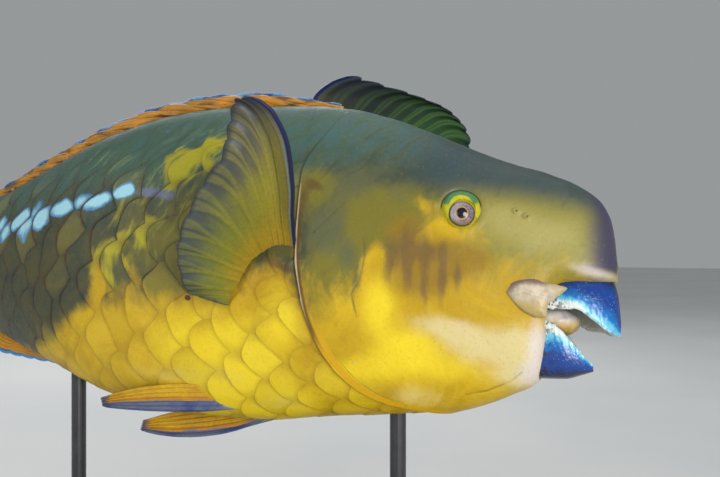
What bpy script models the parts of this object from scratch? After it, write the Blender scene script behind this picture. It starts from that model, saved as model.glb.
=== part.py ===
"""A large parrotfish, a life-size still model on a plain display stand.

The frame: +X is ahead of the fish, +Y its left, +Z up. The origin is the middle of the
underside of the stand. Stations run back from the tip of the beak as parts of LENGTH.
"""
import math

import bmesh
import bpy
import numpy as np
from mathutils import Vector

# Driving sizes, in metres
LENGTH = 0.46
GAP = 0.0003
BASE_THICK = 0.012
BASE_LONG = 0.30
BASE_WIDE = 0.15
AXIS_HEIGHT = BASE_THICK + 0.20
MIDDLE_STATION = 0.45
ROD_RADIUS = 0.0042
ROD_STATIONS = (0.235, 0.66)
FLAP_LIFT = 0.0020
EYE_RADIUS = 0.0082
EYE_STATION = 0.153
EYE_UP = 0.0205
RING = 40

# Shape of the body by station, as parts of LENGTH; heights are from the level of the eye of the camera
TOP = ((0.000, -0.040), (0.004, 0.000), (0.010, 0.024), (0.020, 0.041), (0.040, 0.056), (0.070, 0.070),
       (0.124, 0.087), (0.181, 0.112), (0.239, 0.136), (0.300, 0.154), (0.360, 0.161), (0.450, 0.163),
       (0.530, 0.156), (0.626, 0.133), (0.698, 0.108), (0.788, 0.078), (0.850, 0.060), (0.930, 0.046),
       (1.010, 0.054))
BOTTOM = ((0.000, -0.046), (0.010, -0.049), (0.045, -0.053), (0.060, -0.060), (0.067, -0.092),
          (0.072, -0.135), (0.080, -0.153), (0.102, -0.166), (0.135, -0.180), (0.181, -0.190),
          (0.239, -0.198), (0.313, -0.205), (0.400, -0.214), (0.492, -0.212), (0.584, -0.198),
          (0.698, -0.163), (0.770, -0.145), (0.840, -0.126), (0.930, -0.106), (1.010, -0.112))
HALF_WIDTH = ((0.000, 0.010), (0.004, 0.024), (0.012, 0.034), (0.030, 0.044), (0.060, 0.052),
              (0.100, 0.061), (0.160, 0.073), (0.240, 0.083), (0.340, 0.088), (0.450, 0.083),
              (0.600, 0.066), (0.750, 0.044), (0.880, 0.028), (1.010, 0.019))
WIDEST = ((0.000, -0.030), (0.060, -0.034), (0.120, -0.042), (0.250, -0.045), (0.450, -0.035), (1.010, -0.029))
FULLNESS = ((0.000, 0.80), (0.080, 0.74), (0.200, 0.86), (0.500, 0.92), (1.010, 0.95))
HEADING = ((-0.05, -2.0), (0.25, -2.0), (0.45, -9.0), (0.80, 13.0), (1.00, 8.0), (1.30, 2.0))
ROLL = ((-0.05, 12.0), (0.10, 11.0), (0.30, 7.5), (0.60, 6.0), (1.30, 4.0))

# The rear edge of the gill covers, by angle down from the back: the seam of head and trunk
GILL_EDGE = ((0.00, 0.290), (0.70, 0.315), (1.05, 0.335), (1.45, 0.334), (1.80, 0.324), (2.10, 0.305),
             (2.40, 0.276), (2.65, 0.240), (2.90, 0.196), (3.14, 0.172))


def blend(table, at):
    """A smooth curve through a few pairs, with slopes taken from the neighbours."""
    xs = [pair[0] for pair in table]
    ys = [pair[1] for pair in table]
    if at <= xs[0]:
        return ys[0]
    if at >= xs[-1]:
        return ys[-1]
    i = 0
    while xs[i + 1] < at:
        i += 1
    steps = [(ys[j + 1] - ys[j]) / (xs[j + 1] - xs[j]) for j in range(len(xs) - 1)]

    def slope(j):
        if j == 0 or j == len(xs) - 1:
            return steps[min(j, len(steps) - 1)]
        before = steps[j - 1]
        after = steps[j]
        if before * after <= 0.0:
            return 0.0
        return 2.0 * before * after / (before + after)

    span = xs[i + 1] - xs[i]
    t = (at - xs[i]) / span
    low = ys[i] * (1 + 2 * t) * (1 - t) ** 2 + slope(i) * span * t * (1 - t) ** 2
    high = ys[i + 1] * (3 - 2 * t) * t ** 2 - slope(i + 1) * span * t ** 2 * (1 - t)
    return low + high


def walk_spine():
    """Plan positions of the body line, from the heading at each station."""
    stations = np.linspace(-0.05, 1.35, 561)
    turn = np.radians([blend(HEADING, s) for s in stations])
    step = (stations[1] - stations[0]) * LENGTH
    x = -np.concatenate([[0.0], np.cumsum(np.cos(turn[:-1]))]) * step
    y = np.concatenate([[0.0], np.cumsum(np.sin(turn[:-1]))]) * step
    x -= np.interp(MIDDLE_STATION, stations, x)
    y -= np.interp(MIDDLE_STATION, stations, y)
    return stations, x, y, turn


SPINE = walk_spine()


def middle(s):
    return blend(WIDEST, s) * LENGTH


def place(s, left, up):
    """World point at a station: left of the body line and up from the camera level, then rolled."""
    stations, xs, ys, turns = SPINE
    pivot = middle(min(max(s, 0.09), 1.0))
    roll = math.radians(blend(ROLL, s))
    turn = float(np.interp(s, stations, turns))
    out = left * math.cos(roll) + (up - pivot) * math.sin(roll)
    height = pivot + (up - pivot) * math.cos(roll) - left * math.sin(roll)
    x = float(np.interp(s, stations, xs)) + math.sin(turn) * out
    y = float(np.interp(s, stations, ys)) + math.cos(turn) * out
    return Vector((x, y, AXIS_HEIGHT + height))


def body_point(s, angle, lift=0.0):
    """A point of the body's surface; the angle runs from the back over the left side and round."""
    up = math.cos(angle)
    side = math.sin(angle)
    reach = (blend(TOP, s) if up > 0.0 else blend(BOTTOM, s)) * LENGTH - middle(s)
    half_wide = blend(HALF_WIDTH, s) * LENGTH + lift
    left = math.copysign(abs(side) ** blend(FULLNESS, s), side) * half_wide
    return place(s, left, middle(s) + (abs(reach) + lift) * up)


def body_normal(s, angle):
    along = body_point(s + 0.004, angle) - body_point(s - 0.004, angle)
    round_it = body_point(s, angle + 0.05) - body_point(s, angle - 0.05)
    return round_it.cross(along).normalized()


def angle_at(s, up, side):
    """The angle at which the body's surface is this far above the camera level, before the roll."""
    above = up * LENGTH - middle(s)
    reach = (blend(TOP, s) if above > 0.0 else blend(BOTTOM, s)) * LENGTH - middle(s)
    angle = math.acos(max(-1.0, min(1.0, above / abs(reach))))
    return angle if side > 0 else 2.0 * math.pi - angle


def gill_edge(angle):
    down = angle if angle <= math.pi else 2.0 * math.pi - angle
    return blend(GILL_EDGE, down)


def flap_lift(angle):
    """How far the edge of the gill cover stands off the trunk: level with it over the nape."""
    down = angle if angle <= math.pi else 2.0 * math.pi - angle
    return FLAP_LIFT * blend(((0.0, 0.0), (0.45, 0.0), (0.95, 1.0), (3.14, 1.0)), down)


def clear_scene():
    for thing in list(bpy.data.objects):
        bpy.data.objects.remove(thing, do_unlink=True)
    for mesh in list(bpy.data.meshes):
        bpy.data.meshes.remove(mesh)


def collection(name):
    made = bpy.data.collections.new(name)
    bpy.context.scene.collection.children.link(made)
    return made


def material(name, colour, roughness, metallic=0.0):
    made = bpy.data.materials.new(name)
    made.use_nodes = True
    shader = made.node_tree.nodes["Principled BSDF"]
    shader.inputs["Base Color"].default_value = (*colour, 1.0)
    shader.inputs["Roughness"].default_value = roughness
    shader.inputs["Metallic"].default_value = metallic
    made.diffuse_color = (*colour, 1.0)
    return made


def solid(name, points, faces, group):
    """A closed mesh object with its faces turned outward."""
    mesh = bpy.data.meshes.new(name)
    mesh.from_pydata([tuple(p) for p in points], [], faces)
    work = bmesh.new()
    work.from_mesh(mesh)
    bmesh.ops.recalc_face_normals(work, faces=work.faces)
    work.to_mesh(mesh)
    work.free()
    made = bpy.data.objects.new(name, mesh)
    group.objects.link(made)
    return made


def ring_faces(count, rings):
    faces = []
    for i in range(rings - 1):
        for j in range(count):
            k = (j + 1) % count
            faces.append((i * count + j, i * count + k, (i + 1) * count + k, (i + 1) * count + j))
    return faces


def cap_faces(start, count):
    """A ruled cap that joins the left and right points of a ring that are at one height."""
    half = count // 2
    faces = [(start, start + 1, start + count - 1)]
    for j in range(1, half - 1):
        faces.append((start + j, start + j + 1, start + count - j - 1, start + count - j))
    faces.append((start + half - 1, start + half, start + half + 1))
    return faces


def body_length(name, front, back, stations, group, count=RING):
    """A closed length of the body between two edges, each given by the angle round the body."""
    points = []
    for step in stations:
        for j in range(count):
            angle = 2.0 * math.pi * j / count
            s = front(angle) + (back(angle) - front(angle)) * step
            points.append(body_point(s, angle))
    faces = ring_faces(count, len(stations)) + cap_faces(0, count)
    faces += cap_faces((len(stations) - 1) * count, count)
    return solid(name, points, faces, group)


def steps_between(count):
    return [i / (count - 1) for i in range(count)]


def body_cutter(group):
    """The whole body, larger by the gap all over, to cut what meets it."""
    stations = [0.084, 0.12, 0.16, 0.20, 0.25] + [0.30 + 0.026 * i for i in range(28)] + [1.005]
    points = []
    for s in stations:
        for j in range(RING):
            angle = 2.0 * math.pi * j / RING
            points.append(body_point(s, angle, GAP))
    faces = ring_faces(RING, len(stations)) + cap_faces(0, RING)
    faces += cap_faces((len(stations) - 1) * RING, RING)
    return solid("body_cutter", points, faces, group)


def is_closed(mesh):
    work = bmesh.new()
    work.from_mesh(mesh)
    closed = len(work.faces) > 0 and all(len(edge.link_faces) == 2 for edge in work.edges)
    work.free()
    return closed


def cut(thing, cutter):
    """Take the cutter from a solid at once, with the second solver where the first one fails."""
    whole = thing.data.copy()
    for solver in ("EXACT", "MANIFOLD"):
        thing.data = whole.copy()
        step = thing.modifiers.new("step", "BOOLEAN")
        step.operation = "DIFFERENCE"
        step.solver = solver
        step.object = cutter
        apply_modifiers(thing)
        if is_closed(thing.data):
            return


def apply_modifiers(thing):
    view = bpy.context.evaluated_depsgraph_get()
    view.update()
    made = bpy.data.meshes.new_from_object(thing.evaluated_get(view))
    thing.modifiers.clear()
    thing.data = made


def join_all(thing, pieces):
    """One union of a node and the closed pieces that grow from it."""
    extra = bpy.data.collections.new(thing.name + "_pieces")
    bpy.context.scene.collection.children.link(extra)
    for piece in pieces:
        for home in list(piece.users_collection):
            home.objects.unlink(piece)
        extra.objects.link(piece)
    step = thing.modifiers.new("step", "BOOLEAN")
    step.operation = "UNION"
    step.solver = "EXACT"
    step.operand_type = "COLLECTION"
    step.collection = extra
    apply_modifiers(thing)
    for piece in pieces:
        bpy.data.objects.remove(piece, do_unlink=True)
    bpy.data.collections.remove(extra)


def keep_largest(thing):
    """Only the largest closed surface of a mesh stays."""
    work = bmesh.new()
    work.from_mesh(thing.data)
    left = set(work.verts)
    groups = []
    while left:
        seed = left.pop()
        found = {seed}
        edge = [seed]
        while edge:
            vert = edge.pop()
            for link in vert.link_edges:
                other = link.other_vert(vert)
                if other in left:
                    left.remove(other)
                    found.add(other)
                    edge.append(other)
        groups.append(found)
    groups.sort(key=len, reverse=True)
    for group in groups[1:]:
        bmesh.ops.delete(work, geom=list(group), context="VERTS")
    bmesh.ops.remove_doubles(work, verts=work.verts, dist=0.000004)
    work.to_mesh(thing.data)
    work.free()


def finish(thing, look, sharp_degrees=40.0):
    thing.data.materials.clear()
    thing.data.materials.append(look)
    for face in thing.data.polygons:
        face.use_smooth = True
        face.material_index = 0
    thing.data.set_sharp_from_angle(angle=math.radians(sharp_degrees))


def ball(name, centre, radius, group, axis=None, squash=(1.0, 1.0, 1.0), around=20):
    """A round or oval ball; its third direction lies along the axis."""
    mesh = bpy.data.meshes.new(name)
    work = bmesh.new()
    bmesh.ops.create_uvsphere(work, u_segments=around, v_segments=around // 2, radius=radius)
    turn = axis.to_track_quat("Z", "Y") if axis is not None else None
    for vert in work.verts:
        spot = Vector((vert.co.x * squash[0], vert.co.y * squash[1], vert.co.z * squash[2]))
        if turn is not None:
            spot = turn @ spot
        vert.co = spot + centre
    work.to_mesh(mesh)
    work.free()
    made = bpy.data.objects.new(name, mesh)
    group.objects.link(made)
    return made


def tube(name, line, radii, group, count=10):
    """A closed round tube along a line of points."""
    points = []
    for i, spot in enumerate(line):
        ahead = line[min(i + 1, len(line) - 1)] - line[max(i - 1, 0)]
        across = ahead.cross(Vector((0.1, 0.2, 1.0))).normalized()
        other = ahead.cross(across).normalized()
        for j in range(count):
            turn = 2.0 * math.pi * j / count
            points.append(spot + (across * math.cos(turn) + other * math.sin(turn)) * radii[i])
    faces = ring_faces(count, len(line))
    faces.append(tuple(range(count)))
    faces.append(tuple(range((len(line) - 1) * count, len(line) * count)))
    return solid(name, points, faces, group)


# The beak: two hollow scoops, one above and one below
UPPER_WIDE = ((-0.003, 0.004), (0.002, 0.014), (0.008, 0.020), (0.020, 0.027), (0.040, 0.034), (0.080, 0.040))
UPPER_EDGE = ((-0.003, -0.103), (0.008, -0.100), (0.016, -0.094), (0.028, -0.087), (0.042, -0.080),
              (0.080, -0.079))
UPPER_CROWN = ((-0.003, -0.086), (0.000, -0.060), (0.006, -0.043), (0.020, -0.037), (0.080, -0.038))
LOWER_WIDE = ((0.024, 0.004), (0.029, 0.011), (0.040, 0.020), (0.055, 0.028), (0.085, 0.033))
LOWER_EDGE = ((0.024, -0.134), (0.038, -0.128), (0.048, -0.117), (0.055, -0.105), (0.063, -0.096),
              (0.085, -0.090))
LOWER_CROWN = ((0.024, -0.140), (0.035, -0.144), (0.052, -0.149), (0.085, -0.150))
BEAK_WALL = 0.0048
UPPER_BACK = 0.080
LOWER_BACK = 0.085


def beak_point(shape, s, angle, inside=0.0, lift=0.0):
    """A point of one scoop; the angle runs from the right cutting edge over the crown to the left."""
    wide_table, edge_table, crown_table = shape
    wide = blend(wide_table, s)
    edge = blend(edge_table, s)
    deep = blend(crown_table, s) - edge
    sign = math.copysign(1.0, deep)
    wide = max(wide - inside, wide * 0.35) + lift
    deep = sign * (max(abs(deep) - inside, abs(deep) * 0.35) + lift)
    left = math.copysign(abs(math.sin(angle)) ** 0.85, math.sin(angle)) * wide
    up = edge + deep * max(math.cos(angle), 0.0) ** 0.85
    return place(s, left * LENGTH, up * LENGTH)


UPPER = (UPPER_WIDE, UPPER_EDGE, UPPER_CROWN)
LOWER = (LOWER_WIDE, LOWER_EDGE, LOWER_CROWN)


def scoop(name, shape, inner_front, back, group, stations=9, around=16):
    """A hollow half of the beak with a closed tip."""
    points = []
    for front, inside in ((shape[0][0][0], 0.0), (inner_front, BEAK_WALL)):
        for s in scoop_stations(front, back, stations):
            for j in range(around + 1):
                angle = -0.5 * math.pi + math.pi * j / around
                points.append(beak_point(shape, s, angle, inside))
    row = around + 1
    inner = stations * row
    last = (stations - 1) * row
    faces = []
    for base in (0, inner):
        for i in range(stations - 1):
            for j in range(around):
                a = base + i * row + j
                faces.append((a, a + 1, a + row + 1, a + row))
    for i in range(stations - 1):
        for j in (0, around):
            a = i * row + j
            faces.append((a, a + row, inner + a + row, inner + a))
    for j in range(around):
        faces.append((last + j, last + j + 1, inner + last + j + 1, inner + last + j))
    faces.append(tuple(range(row)))
    faces.append(tuple(range(inner, inner + row)))
    faces.append((0, inner, inner + around, around))
    return solid(name, points, faces, group)


def scoop_stations(front, back, count):
    return [front + (back - front) * (i / (count - 1)) ** 1.6 for i in range(count)]


def beak_hull(name, shape, back, rear, drop, group, count=9, around=16):
    """The filled room of one half of the beak, larger by the gap, to cut the mouth from the head."""
    points = []
    row = around + 1
    stations = scoop_stations(shape[0][0][0], back, count) + [rear]
    for s in stations:
        for j in range(row):
            angle = -0.5 * math.pi + math.pi * j / around
            points.append(beak_point(shape, s, angle, 0.0, GAP / LENGTH))
        for side in (1.0, -1.0):
            wide = blend(shape[0], s) + GAP / LENGTH
            points.append(place(s, side * wide * LENGTH, (blend(shape[1], s) + drop) * LENGTH))
    rings = len(stations)
    faces = ring_faces(row + 2, rings)
    faces.append(tuple(range(row + 2)))
    faces.append(tuple(range((rings - 1) * (row + 2), rings * (row + 2))))
    return solid(name, points, faces, group)


def eye_seat(side):
    angle = angle_at(EYE_STATION, EYE_UP, side)
    spot = body_point(EYE_STATION, angle)
    return spot, body_normal(EYE_STATION, angle)


def build_head(group, cutters):
    """Snout, cheeks and gill covers, with orbits, nostrils, lips and the folds at the mouth."""
    front_edge = 0.001
    stations = [0.0, 0.002, 0.005, 0.010, 0.017, 0.026, 0.038, 0.050, 0.058, 0.062, 0.066, 0.070, 0.075,
                0.082, 0.092, 0.105, 0.120]
    points = []
    for s in stations:
        for j in range(RING):
            points.append(body_point(s + front_edge, 2.0 * math.pi * j / RING))
    back_steps = [0.12, 0.25, 0.39, 0.53, 0.66, 0.78, 0.88, 0.95, 1.0]
    start = stations[-1] + front_edge
    for step in back_steps:
        for j in range(RING):
            angle = 2.0 * math.pi * j / RING
            s = start + (gill_edge(angle) - start) * step
            points.append(body_point(s, angle, flap_lift(angle) * max(0.0, step - 0.2) / 0.8))
    for j in range(RING):
        angle = 2.0 * math.pi * j / RING
        points.append(body_point(gill_edge(angle), angle))
    rings = len(stations) + len(back_steps) + 1
    faces = ring_faces(RING, rings) + cap_faces(0, RING) + cap_faces((rings - 1) * RING, RING)
    head = solid("head", points, faces, group)
    pieces = []
    for side in (1, -1):
        spot, out = eye_seat(side)
        pieces.append(ball("orbit", spot - out * 0.0006, 0.0098, group, out, (1.0, 1.0, 0.38)))
        for s, height in ((0.100, 0.0190), (0.089, 0.0130)):
            angle = angle_at(s, height, side)
            at = body_point(s, angle)
            pieces.append(ball("nostril", at, 0.0016, group, body_normal(s, angle), (1.0, 0.8, 1.0), 10))
        pieces.append(mouth_fold(side, group))
    join_all(head, pieces)
    upper = beak_hull("upper_hull", UPPER, UPPER_BACK, 0.104, -0.020, cutters)
    lower = beak_hull("lower_hull", LOWER, LOWER_BACK, 0.100, 0.012, cutters)
    cut(head, upper)
    cut(head, lower)
    for side in (1, -1):
        spot, out = eye_seat(side)
        hollow = ball("eye_hollow", spot - out * 0.0030, EYE_RADIUS + GAP, cutters, out)
        cut(head, hollow)
    keep_largest(head)
    return head


def mouth_fold(side, group):
    """The loose fold of skin that hangs over the corner of the mouth."""
    line = []
    for s, height in ((0.104, -0.064), (0.092, -0.060), (0.076, -0.061), (0.067, -0.068), (0.068, -0.080)):
        at = angle_at(s, height, side)
        line.append(body_point(s, at, 0.0004))
    return tube("fold", line, [0.0016, 0.0032, 0.0036, 0.0030, 0.0018], group)


def build_eye(side, name, group):
    spot, out = eye_seat(side)
    return ball(name, spot - out * 0.0030, EYE_RADIUS, group, out)


def blade(name, centre, half, across, along, group):
    """A thin closed fin over a surface of two measures, split into like triangles on both faces."""
    points = []
    middle_points = []
    normals = []
    for i in range(across + 1):
        for j in range(along + 1):
            u = i / across
            v = j / along
            spot = centre(u, v)
            du = centre(min(u + 0.01, 1.0), v) - centre(max(u - 0.01, 0.0), v)
            dv = centre(u, min(v + 0.01, 1.0)) - centre(u, max(v - 0.01, 0.0))
            middle_points.append(spot)
            normals.append(du.cross(dv).normalized())
    for sign in (1.0, -1.0):
        for i in range(across + 1):
            for j in range(along + 1):
                k = i * (along + 1) + j
                points.append(middle_points[k] + normals[k] * (sign * half(i / across, j / along)))
    row = along + 1
    other = (across + 1) * row
    faces = []
    for base in (0, other):
        for i in range(across):
            for j in range(along):
                a = base + i * row + j
                faces.append((a, a + 1, a + row + 1))
                faces.append((a, a + row + 1, a + row))
    border = [i * row for i in range(across + 1)]
    border += [across * row + j for j in range(1, row)]
    border += [i * row + along for i in range(across - 1, -1, -1)]
    border += [j for j in range(along - 1, 0, -1)]
    for i, a in enumerate(border):
        b = border[(i + 1) % len(border)]
        faces.append((a, b, other + b))
        faces.append((a, other + b, other + a))
    return solid(name, points, faces, group)


def ray_half(membrane, ridge, rays):
    """Half the thickness of a fin: a ridge on every second line across it, finer toward the margin."""
    def half(u, v):
        raised = ridge if round(u * rays * 2) % 2 == 1 else 0.0
        return (membrane + raised) * (1.0 - 0.45 * v)
    return half


def line_at(table, t):
    """A point on a smooth line through a few points of any size, evenly numbered."""
    spots = [i / (len(table) - 1) for i in range(len(table))]
    size = len(table[0])
    return [blend([(spots[i], table[i][k]) for i in range(len(table))], t) for k in range(size)]


# Pectoral fins: root and margin as station, height and distance out, parts of LENGTH
FIN_ROOT = ((0.343, -0.037, 0.070), (0.367, -0.033, 0.070), (0.385, -0.041, 0.070), (0.402, -0.068, 0.068),
            (0.414, -0.084, 0.066))
NEAR_MARGIN = ((0.331, 0.105, 0.235), (0.351, 0.105, 0.230), (0.362, 0.085, 0.222), (0.373, 0.058, 0.213),
               (0.408, 0.025, 0.198), (0.437, -0.017, 0.180), (0.446, -0.043, 0.162), (0.447, -0.070, 0.138),
               (0.435, -0.078, 0.115), (0.419, -0.084, 0.090))
FAR_MARGIN = ((0.334, 0.228, 0.080), (0.312, 0.220, 0.086), (0.274, 0.208, 0.096), (0.246, 0.199, 0.106),
              (0.222, 0.190, 0.116), (0.208, 0.179, 0.124), (0.198, 0.166, 0.130), (0.193, 0.147, 0.136),
              (0.197, 0.108, 0.140), (0.220, 0.057, 0.136), (0.272, 0.009, 0.122), (0.339, -0.035, 0.096))
# How far each fin stands from a straight fan: sharing of the bend along a ray, then its sizes
RAY_BEND = ((0.00, 0.00), (0.30, 0.41), (0.50, 0.79), (0.75, 1.00), (0.90, 0.79), (0.97, 0.42), (1.00, 0.00))
NEAR_SHAPE = (-1, 1.1, 0.012, -0.034, 0.0)
FAR_SHAPE = (1, 0.8, 0.030, 0.062, 0.035)


def pectoral_surface(margin, shape):
    """The fan of one pectoral fin; its rays are bent, the leading ones most."""
    side, flare, arch, bend_back, bend_up = shape

    def centre(u, v):
        v = 1.0 - (1.0 - v) ** 1.3
        inner = line_at(FIN_ROOT, u)
        outer = line_at(margin, u)
        bend = blend(RAY_BEND, v)
        s = inner[0] + (outer[0] - inner[0]) * v + bend_back * (1.0 - u) ** 1.2 * bend
        up = inner[1] + (outer[1] - inner[1]) * v + bend_up * math.sin(math.pi * u) * bend
        out = inner[2] + (outer[2] - inner[2]) * v ** flare + arch * math.sin(math.pi * v)
        return place(s, side * out * LENGTH, up * LENGTH)
    return centre


def build_pectoral(name, margin, shape, group, cutter):
    rays = 14
    surface = pectoral_surface(margin, shape)
    fin = blade(name, surface, ray_half(0.00034, 0.00032, rays), rays * 2, 10, group)
    cut(fin, cutter)
    keep_largest(fin)
    return fin


# Pelvic fins: root, tip, and the heights of the two margins above the line between them
NEAR_PELVIC = ((0.392, -0.194, 0.022), (0.580, -0.202, 0.052), 0.024, -0.008)
FAR_PELVIC = ((0.385, -0.200, 0.008), (0.577, -0.232, 0.024), 0.012, -0.024)


def build_pelvic(name, shape, side, group, cutter):
    """A folded pelvic fin that lies back along the belly."""
    (s0, up0, out0), (s1, up1, out1), high, low = shape
    rays = 5

    def centre(u, v):
        spread = math.sin(math.pi * (0.10 + 0.82 * v)) ** 0.8
        offset = (high * (1.0 - u) + low * u) * spread
        s = s0 + (s1 - s0) * v
        out = out0 + (out1 - out0) * v ** 0.6 + 0.014 * (1.0 - u) * spread
        return place(s, side * out * LENGTH, (up0 + (up1 - up0) * v + offset) * LENGTH)

    fin = blade(name, centre, ray_half(0.0005, 0.0004, rays), rays * 2, 12, group)
    cut(fin, cutter)
    keep_largest(fin)
    return fin


def build_dorsal(group, cutter):
    """The folded back fin: its spines and rays lie over one another like the strands of a rope."""
    count = 12
    stations = 64
    start = 0.318
    end = 0.955
    points = []
    for i in range(stations):
        t = i / (stations - 1)
        s = start + (end - start) * t
        size = min(1.0, 0.25 + 5.0 * t) * min(1.0, 0.18 + 3.2 * (1.0 - t))
        free = max(0.0, s - 0.86) * 0.10
        centre_up = (blend(TOP, s) + 0.0080 * size + free) * LENGTH
        for j in range(count):
            turn = 2.0 * math.pi * j / count
            strand = 1.0 + 0.16 * math.cos(3.0 * turn - 34.0 * t)
            left = 0.0042 * size * strand * math.sin(turn)
            up = 0.0050 * size * strand * math.cos(turn)
            points.append(place(s, left, centre_up + up))
    faces = ring_faces(count, stations)
    faces.append(tuple(range(count)))
    faces.append(tuple(range((stations - 1) * count, stations * count)))
    fin = solid("dorsal_fin", points, faces, group)
    cut(fin, cutter)
    keep_largest(fin)
    return fin


ANAL_UPPER = ((0.690, -0.150), (0.780, -0.130), (0.850, -0.110), (0.880, -0.117), (0.940, -0.132))
ANAL_LOWER = ((0.690, -0.164), (0.740, -0.162), (0.830, -0.158), (0.900, -0.149), (0.940, -0.139))


def build_anal(group, cutter):
    """The folded anal fin: rays that lie back almost level below the tail stem."""
    rays = 6

    def centre(u, v):
        s = 0.690 + 0.250 * v
        upper = blend(ANAL_UPPER, s)
        return place(s, 0.0, (upper + (blend(ANAL_LOWER, s) - upper) * u) * LENGTH)

    fin = blade("anal_fin", centre, ray_half(0.0006, 0.0005, rays), rays * 2, 14, group)
    cut(fin, cutter)
    keep_largest(fin)
    return fin


def build_tail_fin(group):
    """The tail fin: a fan of rays with a shallow notch, thick where it leaves the stem."""
    rays = 17
    start = 1.0 + GAP / LENGTH

    def centre(u, v):
        across = 2.0 * u - 1.0
        root_up = -0.029 - 0.066 * across
        reach = 0.195 + 0.055 * abs(across) ** 2.4
        tip_up = -0.029 - 0.175 * math.copysign(abs(across) ** 1.05, across)
        s = start + reach * v
        return place(s, 0.0, (root_up + (tip_up - root_up) * v ** 0.9) * LENGTH)

    ridge = ray_half(0.00045, 0.00040, rays)

    def half(u, v):
        across = 2.0 * u - 1.0
        fleshy = 0.0068 * math.sqrt(max(0.0, 1.0 - 0.9 * across * across)) * max(0.0, 1.0 - v / 0.22) ** 2
        return ridge(u, v) + fleshy

    return blade("tail_fin", centre, half, rays * 2, 9, group)


def build_stand(group, cutter):
    """A flat base with rounded edges and two short rods up to the belly."""
    mesh = bpy.data.meshes.new("stand_base")
    work = bmesh.new()
    bmesh.ops.create_cube(work, size=1.0)
    for vert in work.verts:
        vert.co = Vector((vert.co.x * BASE_LONG, vert.co.y * BASE_WIDE, (vert.co.z + 0.5) * BASE_THICK))
    work.to_mesh(mesh)
    work.free()
    base = bpy.data.objects.new("stand_base", mesh)
    group.objects.link(base)
    bevel = base.modifiers.new("edge", "BEVEL")
    bevel.width = 0.0025
    bevel.segments = 3
    apply_modifiers(base)
    rods = []
    for name, s in zip(("stand_rod_front", "stand_rod_rear"), ROD_STATIONS):
        foot = body_point(s, math.pi)
        low = Vector((foot.x, foot.y, BASE_THICK + GAP))
        high = Vector((foot.x, foot.y, foot.z + 0.015))
        rod = tube(name, [low, high], [ROD_RADIUS, ROD_RADIUS], group, 24)
        cut(rod, cutter)
        keep_largest(rod)
        rods.append(rod)
    return [base] + rods


def build():
    clear_scene()
    group = collection("parrotfish")
    cutters = collection("cutters")
    cutters.hide_render = True
    skin = material("olive_yellow_skin", (0.52, 0.44, 0.10), 0.45)
    dark_skin = material("grey_olive_skin", (0.26, 0.27, 0.14), 0.45)
    beak = material("blue_beak", (0.10, 0.36, 0.62), 0.30)
    eye_look = material("dark_eye", (0.06, 0.04, 0.08), 0.12)
    fin_look = material("yellow_fin", (0.50, 0.34, 0.06), 0.42)
    stand_look = material("dark_stand", (0.05, 0.05, 0.055), 0.55)
    cutter = body_cutter(cutters)
    finish(build_head(group, cutters), skin, 60.0)
    finish(scoop("beak_upper", UPPER, 0.008, UPPER_BACK, group), beak, 50.0)
    finish(scoop("beak_lower", LOWER, 0.034, LOWER_BACK, group), beak, 50.0)
    finish(build_eye(-1, "eye_right", group), eye_look)
    finish(build_eye(1, "eye_left", group), eye_look)
    seam = GAP / LENGTH

    def after_gills(angle):
        return gill_edge(angle) + seam

    def level(s):
        return lambda angle: s

    finish(body_length("trunk_front", after_gills, level(0.55), steps_between(15), group), skin, 60.0)
    finish(body_length("trunk_rear", level(0.55 + seam), level(0.84), steps_between(13), group), dark_skin, 60.0)
    finish(body_length("tail_stem", level(0.84 + seam), level(1.0), steps_between(8), group), dark_skin, 60.0)
    finish(build_dorsal(group, cutter), fin_look)
    finish(build_anal(group, cutter), fin_look)
    finish(build_tail_fin(group), fin_look)
    finish(build_pectoral("pectoral_fin_right", NEAR_MARGIN, NEAR_SHAPE, group, cutter), fin_look)
    finish(build_pectoral("pectoral_fin_left", FAR_MARGIN, FAR_SHAPE, group, cutter), fin_look)
    finish(build_pelvic("pelvic_fin_right", NEAR_PELVIC, -1, group, cutter), fin_look)
    finish(build_pelvic("pelvic_fin_left", FAR_PELVIC, 1, group, cutter), fin_look)
    for piece in build_stand(group, cutter):
        finish(piece, stand_look)
    for thing in list(cutters.objects):
        bpy.data.objects.remove(thing, do_unlink=True)
    bpy.data.collections.remove(cutters)


build()
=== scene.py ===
"""The looks of a large parrotfish, a life-size still model on a display stand.

Stations run back from the tip of the beak as parts of LENGTH, and heights are from the level
of the camera, before the body's roll. The frame is +X ahead, +Y left and +Z up.
"""
import math

import bmesh
import bpy
import numpy as np
from mathutils import Matrix, Vector

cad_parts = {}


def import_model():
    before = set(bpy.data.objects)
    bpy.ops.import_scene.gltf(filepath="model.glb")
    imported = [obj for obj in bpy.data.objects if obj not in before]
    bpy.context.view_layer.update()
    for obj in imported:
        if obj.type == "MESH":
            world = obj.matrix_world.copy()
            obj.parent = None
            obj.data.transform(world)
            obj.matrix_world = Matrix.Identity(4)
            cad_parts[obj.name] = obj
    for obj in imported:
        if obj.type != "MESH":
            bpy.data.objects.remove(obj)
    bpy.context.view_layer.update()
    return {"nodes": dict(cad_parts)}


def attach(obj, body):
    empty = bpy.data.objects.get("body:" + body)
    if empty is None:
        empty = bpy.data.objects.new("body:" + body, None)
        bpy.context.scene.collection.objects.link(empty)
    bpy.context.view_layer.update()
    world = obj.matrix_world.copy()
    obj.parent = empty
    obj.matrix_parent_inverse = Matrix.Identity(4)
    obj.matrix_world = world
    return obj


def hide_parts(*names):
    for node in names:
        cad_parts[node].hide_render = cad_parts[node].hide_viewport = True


# Driving sizes in metres, the same in the solids: from snout to tail fin, between the pieces, and the stand's
LENGTH = 0.46
GAP = 0.0003
BASE_THICK = 0.012
AXIS_HEIGHT = BASE_THICK + 0.20
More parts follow.
